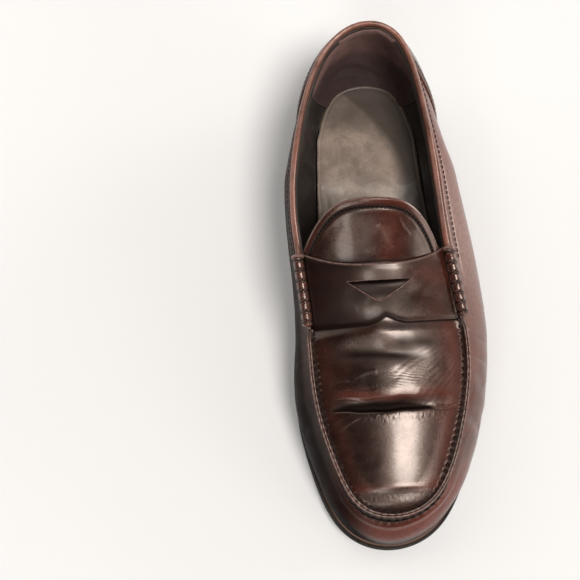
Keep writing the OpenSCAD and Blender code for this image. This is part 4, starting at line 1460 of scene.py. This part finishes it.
def make_quarter_lining():
    u = np.linspace(-4.85, 4.85, 420)
    uu, vv = np.broadcast_arrays(u[:, None], np.linspace(0.0, 1.0, 70))
    relief = lining_relief(uu, vv) * ease(0.05, 0.3, vv)
    inner = lining_face(uu, vv, 3.55) + wall_in(uu, vv) * relief[..., None]
    inner = stood_up(inner, u, 2.3, 0.75)
    n = grid_normals(inner)
    n = n * np.sign((n[..., :2] * -out_at(u)[:, None, :2]).sum(-1, keepdims=True) + 1e-9)
    points, faces = sheet_solid(inner, n, 0.75, 5)
    piece = make_piece("quarter_lining_leather", "quarter_lining", points, faces, lining)
    wear_and_sheen, dirt_and_shade = np.zeros((2, *inner.shape[:2]))
    wear_and_sheen[:, -1] = 0.45
    # Painted shade low down, where the lining meets the sock.
    dirt_and_shade[:, :70] = 0.8 * bump(vv, 0.0, 0.07)
    rim = points[2 * wear_and_sheen.size:]
    medial = inner[210:, -1][::-1]
    high = rim[:, 2] > np.interp(rim[:, 1], medial[:, 1], medial[:, 2]) - 1.0
    worn = sheet_values(points, wear_and_sheen, np.where(high, 0.65, 0))
    paint(piece, worn, sheet_values(points, dirt_and_shade))


def make_heel_grip():
    v = np.linspace(0.10, 1.0, 90)
    reach = 1.75 - 0.75 * ease(0.45, 1.0, v)
    uu = np.linspace(-1, 1, 220)[:, None] * reach
    vv = v + 0 * uu
    n = wall_in(uu, vv)
    upper, lower = vv + 0.03 * np.sin(uu * 2.2), vv + 0.02 * np.sin(uu * 3 + 1)
    folds = (
        -0.9 * bump(upper, 0.215, 0.014) + 0.7 * bump(upper, 0.245, 0.018)
        - 0.6 * bump(lower, 0.165, 0.011) + 0.4 * bump(lower, 0.188, 0.014)
    ) * bump(uu, 0, 1.0)
    edge = ease(0, 0.12, reach - np.abs(uu)) * ease(0, 0.1, vv - 0.10)
    rough = 0.55 + folds + 0.25 * soft(uu * 3, vv * 5) + 0.1 * medium(uu * 9, vv * 9)
    face = lining_face(uu, vv, 0 * uu) + n * (3.85 + edge * rough)[..., None]
    face = stood_up(face, uu[:, -1], 2.0, 0.7)
    n = np.concatenate([n, np.repeat(n[:, -1:], face.shape[1] - len(v), 1)], 1)
    points, faces = sheet_solid(face, n, 0.55)
    piece = make_piece("heel_grip_suede", "heel_grip", points, faces, suede)
    level = np.concatenate([v, np.linspace(1, 1.05, 8)[1:]]) + 0 * face[..., 0]
    wear_and_sheen = sheet_values(points, 0.8 * ease(1.03, 1.05, level))
    # Its top edge is worn light, and its lower part is darker.
    paint(piece, wear_and_sheen, sheet_values(points, 0.93 * (1 - ease(0.24, 0.46, level))))


make_quarter_lining()
make_heel_grip()
make_layer("vamp_lining_leather", "vamp_lining", lining, 4.9, 13.1, 0.1, 0.94, 2.8, 0.8, 200)
make_layer("toe_puff_board", "toe_puff", board, 7.25, 10.75, 0.1, 0.87, 1.6, 1.0)
make_layer("heel_counter_board", "heel_counter", board, -2.5, 2.5, 0.1, 0.7, 1.6, 1.0)
make_layer("topline_tape_strip", "topline_tape", tape, -3.75, 3.75, 0.885, 0.935, 1.65, 0.35)
make_layer("collar_foam_pad", "collar_foam", foam, -3.75, 3.75, 0.82, 0.875, 1.65, 0.9, 160)


def make_plug_lining():
    w = np.linspace(0.5, 4.4, 120)[:, None]
    t = 0.9 * np.sin(np.linspace(-math.pi / 2, math.pi / 2, 70))
    w, t = np.broadcast_arrays(w, t)
    top = instep_at(w, t, -LEATHER_T - 0.45)
    x, y = top[..., 0], top[..., 1]
    top[..., 2] += np.minimum(0, plug_relief(x, y, 20 + 0 * x))
    sheet = sheet_solid(top, grid_normals(top), 0.7)
    paint(make_piece("plug_lining_leather", "plug_lining", *sheet, lining))


make_plug_lining()

# ---------------------------------------------------------------- the heel cover
COVER_GAP, COVER_T = 0.35, 1.0
STATION_MM = 22  # roughly, round the heel


def cover_reach(v):
    """How far the heel cover goes round to each side, in stations."""
    return 2.7 - 1.2 * np.clip(v, 0, 1) ** 1.5


def make_heel_cover():
    s = np.sin(np.linspace(-math.pi / 2, math.pi / 2, 240))[:, None]
    ss, vv = np.broadcast_arrays(s, np.linspace(0.03, 0.965, 110))
    uu = cover_reach(vv) * ss
    n = -wall_in(uu, vv)
    gap = (1 - np.abs(ss)) * cover_reach(vv) * STATION_MM
    back = uu * 24
    hem = -0.45 * (1 - ease(0, 1.2, gap)) - 0.22 * bump(gap, 2.0, 0.6) + 0.12 * bump(gap, 3.2, 0.8)
    seam = -0.35 * bump(back, 0, 0.5) + 0.2 * bump(np.abs(back), 1.4, 0.9)
    wave = 0.14 * soft(uu * 3 + 5, vv * 4) + 0.05 * medium(uu * 9, vv * 9)
    face = ply_at(uu, vv, -COVER_GAP - COVER_T - wave - hem - seam)
    points, faces = sheet_solid(face, n, COVER_T - 0.1, 5)
    piece = make_piece("heel_cover_leather", "heel_cover", points, faces, calf)
    # Painted shade in the hem's groove, along the back seam and at the foot, and more on the inner
    # side.
    dirt_and_shade = 0.6 * bump(gap, 2.0, 0.7) + 0.5 * bump(back, 0, 0.6) + 0.5 * bump(vv, 0.03, 0.03)
    dirt_and_shade = dirt_and_shade + 0.35 * ease(4, 22, -face[..., 0])
    paint(
        piece, sheet_values(points, 0 * gap, 0.35), sheet_values(points, dirt_and_shade),
        sheet_values(points, 0.3 + 0.4 * bump(vv, 0.6, 0.25)),
    )


def make_quarter_threads():
    collar, cover = [], []
    for side in (-1, 1):
        u = side * np.linspace(1.62, 4.2, 400)
        v = np.full_like(u, COLLAR_LEVEL)
        n = -wall_in(u, v)
        collar.append((wall_at(u, v) + n * 0.02, n))
        v = np.linspace(0.05, 0.95, 300)
        u = side * (cover_reach(v) - 2.0 / STATION_MM)
        cover.append((ply_at(u, v, -COVER_GAP - COVER_T + 0.22 + 0 * v), -wall_in(u, v)))
    sew("topline_stitches", "topline_thread", collar, 3.0, 2.1, 0.27)
    sew("heel_cover_stitches", "heel_cover_thread", cover, 2.9, 2.0, 0.24)


make_heel_cover()
make_quarter_threads()

# ---------------------------------------------------------------- the sole
CHANNEL_IN = 7.0


def outline_table(inset, tuck=0.0):
    """The outline as y and x on the lateral side, then on the medial side."""
    u = np.linspace(0, STATIONS, 3601)
    p = inset_at(u, inset + tuck * tuck_share(u))
    back, front = p[:, 1].argmax(), p[:, 1].argmin()
    lateral = p[back if back < len(u) // 2 else 0:front + 1]
    medial = p[front:]
    return lateral[:, 1][::-1], lateral[:, 0][::-1], medial[:, 1], medial[:, 0]


def slab_grid(inset, rows, cols, front=None, tuck=0.0):
    """Points over a sole-shaped outline, toe to heel, medial to lateral, as x and y.

    They lie closer near the outline. If front is given, the grid starts at that y."""
    ly, lx, my, mx = outline_table(inset, tuck)
    low, high = max(ly.min(), my.min()), min(ly.max(), my.max())
    a = np.linspace(0, 1, rows)
    if front is None:
        a = (1 - np.cos(math.pi * a)) / 2
    else:
        low = max(low, front)
        a = np.sin(a * math.pi / 2)
    y = (low + 0.02 + (high - low - 0.04) * a)[:, None]
    left, right = np.interp(y, my, mx), np.interp(y, ly, lx)
    s = np.linspace(0, 1, cols)
    x = left + (right - left) * ((1 - np.cos(math.pi * s)) / 4 + s / 2)
    return x, np.broadcast_to(y, x.shape)


def edge_gap(x, y, inset, tuck=0.0):
    """Distance in from the outline, by the nearest of its points."""
    u = np.linspace(0, STATIONS, 721)
    return distance_to(inset_at(u, inset + tuck * tuck_share(u)), x, y)


def slab_solid(x, y, top_z, low_z, profile):
    """A plate from a grid. profile lists the edge as shares down and millimetres out."""
    top, low = (np.stack([x, y, z], -1) for z in (top_z, low_z))
    at = tuple(rim_of(*x.shape))
    a, b = top[at], low[at]
    step = np.roll(a, -1, 0) - np.roll(a, 1, 0)
    out = unit(np.stack([step[:, 1], -step[:, 0], 0 * step[:, 0]], -1))
    middle = top.reshape(-1, 3).mean(0)
    if ((a - middle)[:, :2] * out[:, :2]).sum() < 0:
        out = -out
    return rimmed_solid(top, low, [a + (b - a) * down + out * push for down, push in profile])


def edge_profile(thick, corner, grooves, depth=0.10, steps=26):
    """A sole edge with rounded corners and shallow grooves round it."""
    s = np.linspace(0, 1, steps)[1:-1]
    down = s * thick
    near = np.minimum(down, thick - down)
    push = corner * (np.sqrt(np.clip(1 - (1 - np.minimum(near / corner, 1)) ** 2, 0, 1)))
    for g in grooves:
        push = push - depth * bump(s, g, 0.035)
    return list(zip(s.tolist(), push.tolist()))


def make_sole_layers():
    # Outsole, with the channel that holds its stitches.
    x, y = slab_grid(0.45, 300, 110)
    z = tread_z(y)
    channel = 1.1 * bump(edge_gap(x, y, 0.0), CHANNEL_IN, 0.85) * (1 - ease(56, 62, y))
    profile = edge_profile(4.0, 0.45, (0.24, 0.5, 0.76))
    points, faces = slab_solid(x, y, z + OUTSOLE_T, z + channel, profile)
    outsole = make_piece("outsole_leather", "outsole", points, faces, sole_edge)
    wear_and_sheen = np.zeros(len(points))
    under = 0.5 * bump(y, -58, 26) * bump(x, 0, 30) + 0.15 * bump(y, -120, 14)
    wear_and_sheen[x.size:2 * x.size] = under.ravel()
    paint(outsole, wear_and_sheen, sheet_values(points, 0.3 + 0 * x))
    # Midsole, whose thin edge shows over the outsole's.
    x, y = slab_grid(0.95, 240, 60)
    low = tread_z(y) + OUTSOLE_T
    profile = edge_profile(2.5, 0.35, (0.5,), 0.08)
    points, faces = slab_solid(x, y, low + MIDSOLE_T, low + 0.02, profile)
    midsole = make_piece("midsole_leather", "midsole", points, faces, welt)
    # A painted highlight in a thin line round the midsole's top, near the foot of the wall.
    paint(midsole, sheet_values(points, bump(edge_gap(x, y, 0.0), 2.45, 0.4)))
    # Heel lifts and top piece.
    third = HEEL_HEIGHT / 3
    profile = edge_profile(third, 0.35, (0.25, 0.5, 0.75), 0.07)
    for name, inset, low, material in (
        ("heel_lift_upper", 0.4, 2 * third, sole_edge), ("heel_lift_lower", 0.8, third, sole_edge),
        ("heel_top_piece", 1.1, 0.0, rubber),
    ):
        x, y = slab_grid(inset + 0.35, 110, 60, front=HEEL_BREAST + 0.3)
        bottom = low + 0 * x
        if name == "heel_top_piece":
            # Shallow tread lines, which stop short of the edge.
            tread = 0.7 * ease(0.72, 0.9, np.cos(y * 2 * math.pi / 7.0))
            tread = tread * ease(0, 4, edge_gap(x, y, 6))
            bottom = bottom + np.where(edge_gap(x, y, 0.0) > 6, tread, 0)
        points, faces = slab_solid(x, y, low + third - 0.01 + 0 * x, bottom, profile)
        piece = make_piece(name + "_block", name, points, faces, material)
        paint(piece, sheet_values(points, 0 * x, 0.06))


make_sole_layers()


foot = inset_at(np.linspace(3.4, STATIONS - 3.4, 1600), CHANNEL_IN)
channel_line = np.concatenate([foot, tread_z(foot[:, 1:]) + 0.75], 1)
down = np.broadcast_to([0, 0, -1.0], channel_line.shape)
sew("sole_stitches", "sole_thread", [(channel_line, down)], 4.2, 3.1, 0.4, sole_thread)


def make_footbed():
    # The heel pad is foam: crowned, thin at its front edge, under the sock.
    inset = SOCK_INSET + 2.2
    x, y = slab_grid(inset, 90, 50, front=54.0, tuck=HEEL_TUCK)
    gap = edge_gap(x, y, inset, HEEL_TUCK)
    base = tread_z(y) + SOCK_UP - 1.0
    rise = np.maximum(0.06, pad_rise(y) - 0.25 * (1 - ease(0, 6, gap)) - 0.02)
    slab = slab_solid(x, y, base + rise, base + 0.01, edge_profile(1.0, 0.3, (), 0.0, 8))
    pad = make_piece("heel_pad_foam", "heel_pad", *slab, foam)
    # The sock: dished under the heel, its edge turned up against the lining.
    inset = SOCK_INSET - 0.2
    x, y = slab_grid(inset, 300, 120, tuck=HEEL_TUCK)
    gap = edge_gap(x, y, inset, HEEL_TUCK)
    base = tread_z(y) + SOCK_UP + 0.05 + pad_rise(y)
    top = base + 0.30 * (1 - ease(0, 9, gap))
    top = top + 0.12 * soft(x / 17, y / 19) + 0.05 * medium(x / 6, y / 7)
    top = top + 0.10 * bump(gap, 0.8, 0.5) - 0.08 * bump(gap, 1.8, 0.5)
    top = top + strokes(
        x, y, ([(-33, 30), (-31, 50), (-34, 64)], 1.6, 0.5),
        ([(-29, 28), (-27.5, 46), (-29, 58)], 1.4, 0.35),
    )
    top = top - 0.5 * bump(x, -4, 14) * bump(y, 92, 26)
    points, faces = slab_solid(x, y, top, base - 0.95, edge_profile(1.2, 0.3, (), 0.0, 8))
    sock = make_piece("sock_liner_leather", "sock_liner", widened(points), faces, sock_leather)
    # Painted shade towards the back of the heel, in the groove near the edge and where the edge
    # meets the lining.
    dark = 0.62 * ease(86, 105, y) + 0.15 * bump(gap, 1.8, 0.5) + 0.5 * (1 - ease(0, 0.6, gap))
    # The painted shadow of the outer wall across the sock's outer side.
    shaded = 11.5 - 0.011 * np.maximum(0, y - 62) ** 2
    dark = np.maximum(dark, 0.97 * ease(-5.5, 5.0, x - shaded))
    wear_and_sheen = sheet_values(points, 0.05 * bump(gap, 0.9, 0.5))
    paint(sock, wear_and_sheen, sheet_values(points, dark))


make_footbed()
paint_cad("cork_filler", cork)
paint_cad("insole_board", board)
paint_cad("shank", steel)
paint_cad("heel_nails", brass)


# ---------------------------------------------------------------- floor, light and camera
def aimed(obj, place, target, side=None):
    """Put obj at place, looking at target down its own -Z. Both in metres."""
    place, target = Vector(place), Vector(target)
    back = (place - target).normalized()
    right = Vector(side) if side else Vector((0, 0, 1)).cross(back)
    right = (right - back * right.dot(back)).normalized()
    up = back.cross(right)
    turn = Matrix((right, up, back)).transposed().to_4x4()
    obj.matrix_world = Matrix.Translation(place) @ turn


CAMERA_PLACE = (-0.0583, -0.1634, 0.6866)
CAMERA_AIM = (-0.0540, 0.0003, 0.0300)
CAMERA_RIGHT = (0.99966, -0.02618, 0.0)
SENSOR = 36.0
FOCAL_SHARE = 1200 / 580

camera_data = bpy.data.cameras.new("camera")
camera_data.sensor_width = SENSOR
camera_data.lens = SENSOR * FOCAL_SHARE
camera_data.clip_start = 0.01
camera = bpy.data.objects.new("camera", camera_data)
scene.collection.objects.link(camera)
aimed(camera, CAMERA_PLACE, CAMERA_AIM, CAMERA_RIGHT)
scene.camera = camera


WARM = (1.0, 0.945, 0.88)


def lamp(name, direction, width, strength):
    """A broad soft lamp a long way off: its direction, its width in degrees and its strength."""
    data = bpy.data.lights.new(name, "SUN")
    data.angle = math.radians(width)
    data.energy = strength
    data.color = WARM
    light = bpy.data.objects.new(name, data)
    scene.collection.objects.link(light)
    aimed(light, Vector(direction).normalized() * 3, (0, 0, 0))


lamp("key_light", (0.25, -0.28, 0.925), 21, 2.05)
lamp("front_light", (-0.06, -0.60, 0.80), 11, 0.20)
lamp("tongue_light", (-0.35, -0.69, 0.63), 13, 0.26)
lamp("right_light", (0.92, 0.36, 0.15), 30, 1.2)
lamp("side_light", (0.82, -0.46, 0.33), 24, 0.40)
lamp("back_light", (0.60, 0.45, 0.66), 85, 0.50)
lamp("fill_light", (-0.60, 0.60, 0.53), 70, 1.05)

# The studio: pale round the horizon, darker overhead and towards the shoe's inner side.
world = bpy.data.worlds.new("studio")
scene.world = world
world.use_nodes = True
sky = world.node_tree


def sky_node(kind, *values, **fields):
    node = sky.nodes.new(kind)
    for key, value in fields.items():
        setattr(node, key, value)
    for socket, value in zip(node.inputs, values):
        if isinstance(value, bpy.types.NodeSocket):
            sky.links.new(value, socket)
        else:
            socket.default_value = value
    return node


facing = sky_node("ShaderNodeSeparateXYZ", sky_node("ShaderNodeTexCoord").outputs["Generated"])
height = sky_node("ShaderNodeMapRange", facing.outputs["Z"], 0.05, 0.45, 0.9, 0.05)
across = sky_node("ShaderNodeMapRange", facing.outputs["X"], -0.8, 0.5, 0.25, 1.0)
ahead = sky_node("ShaderNodeMapRange", facing.outputs["Y"], -0.8, 0.3, 0.4, 1.0)
level = sky_node("ShaderNodeMath", height.outputs[0], across.outputs[0], operation="MULTIPLY")
level = sky_node("ShaderNodeMath", level.outputs[0], ahead.outputs[0], operation="MULTIPLY")
horizon = sky_node("ShaderNodeMapRange", facing.outputs["Z"], 0.07, 0.16, 0.93, 0.0)
level = sky_node("ShaderNodeMath", level.outputs[0], horizon.outputs[0], operation="MAXIMUM")
sky.nodes["Background"].inputs[0].default_value = (1.0, 0.975, 0.95, 1)
sky.links.new(level.outputs[0], sky.nodes["Background"].inputs[1])
scene.view_settings.view_transform = "Standard"

floor_nodes = Nodes("floor", Specular_IOR_Level=0.15)
floor_tone = floor_nodes.mix(floor_nodes.noise(3, 2), (0.865, 0.885, 0.915), (0.885, 0.905, 0.935))
floor_nodes.set("Base Color", floor_tone)
floor_nodes.set("Roughness", floor_nodes.span(floor_nodes.noise(90), 0.3, 0.7, 0.75, 0.85))
FLOOR_HALF = 4000.0
corners = FLOOR_HALF * np.array([(-1, -1, 0), (1, -1, 0), (1, 1, 0), (-1, 1, 0)])
floor = make_piece(
    "floor", None, corners, [[0, 1, 2, 3]], floor_nodes.material, body=None, closed=False,
)
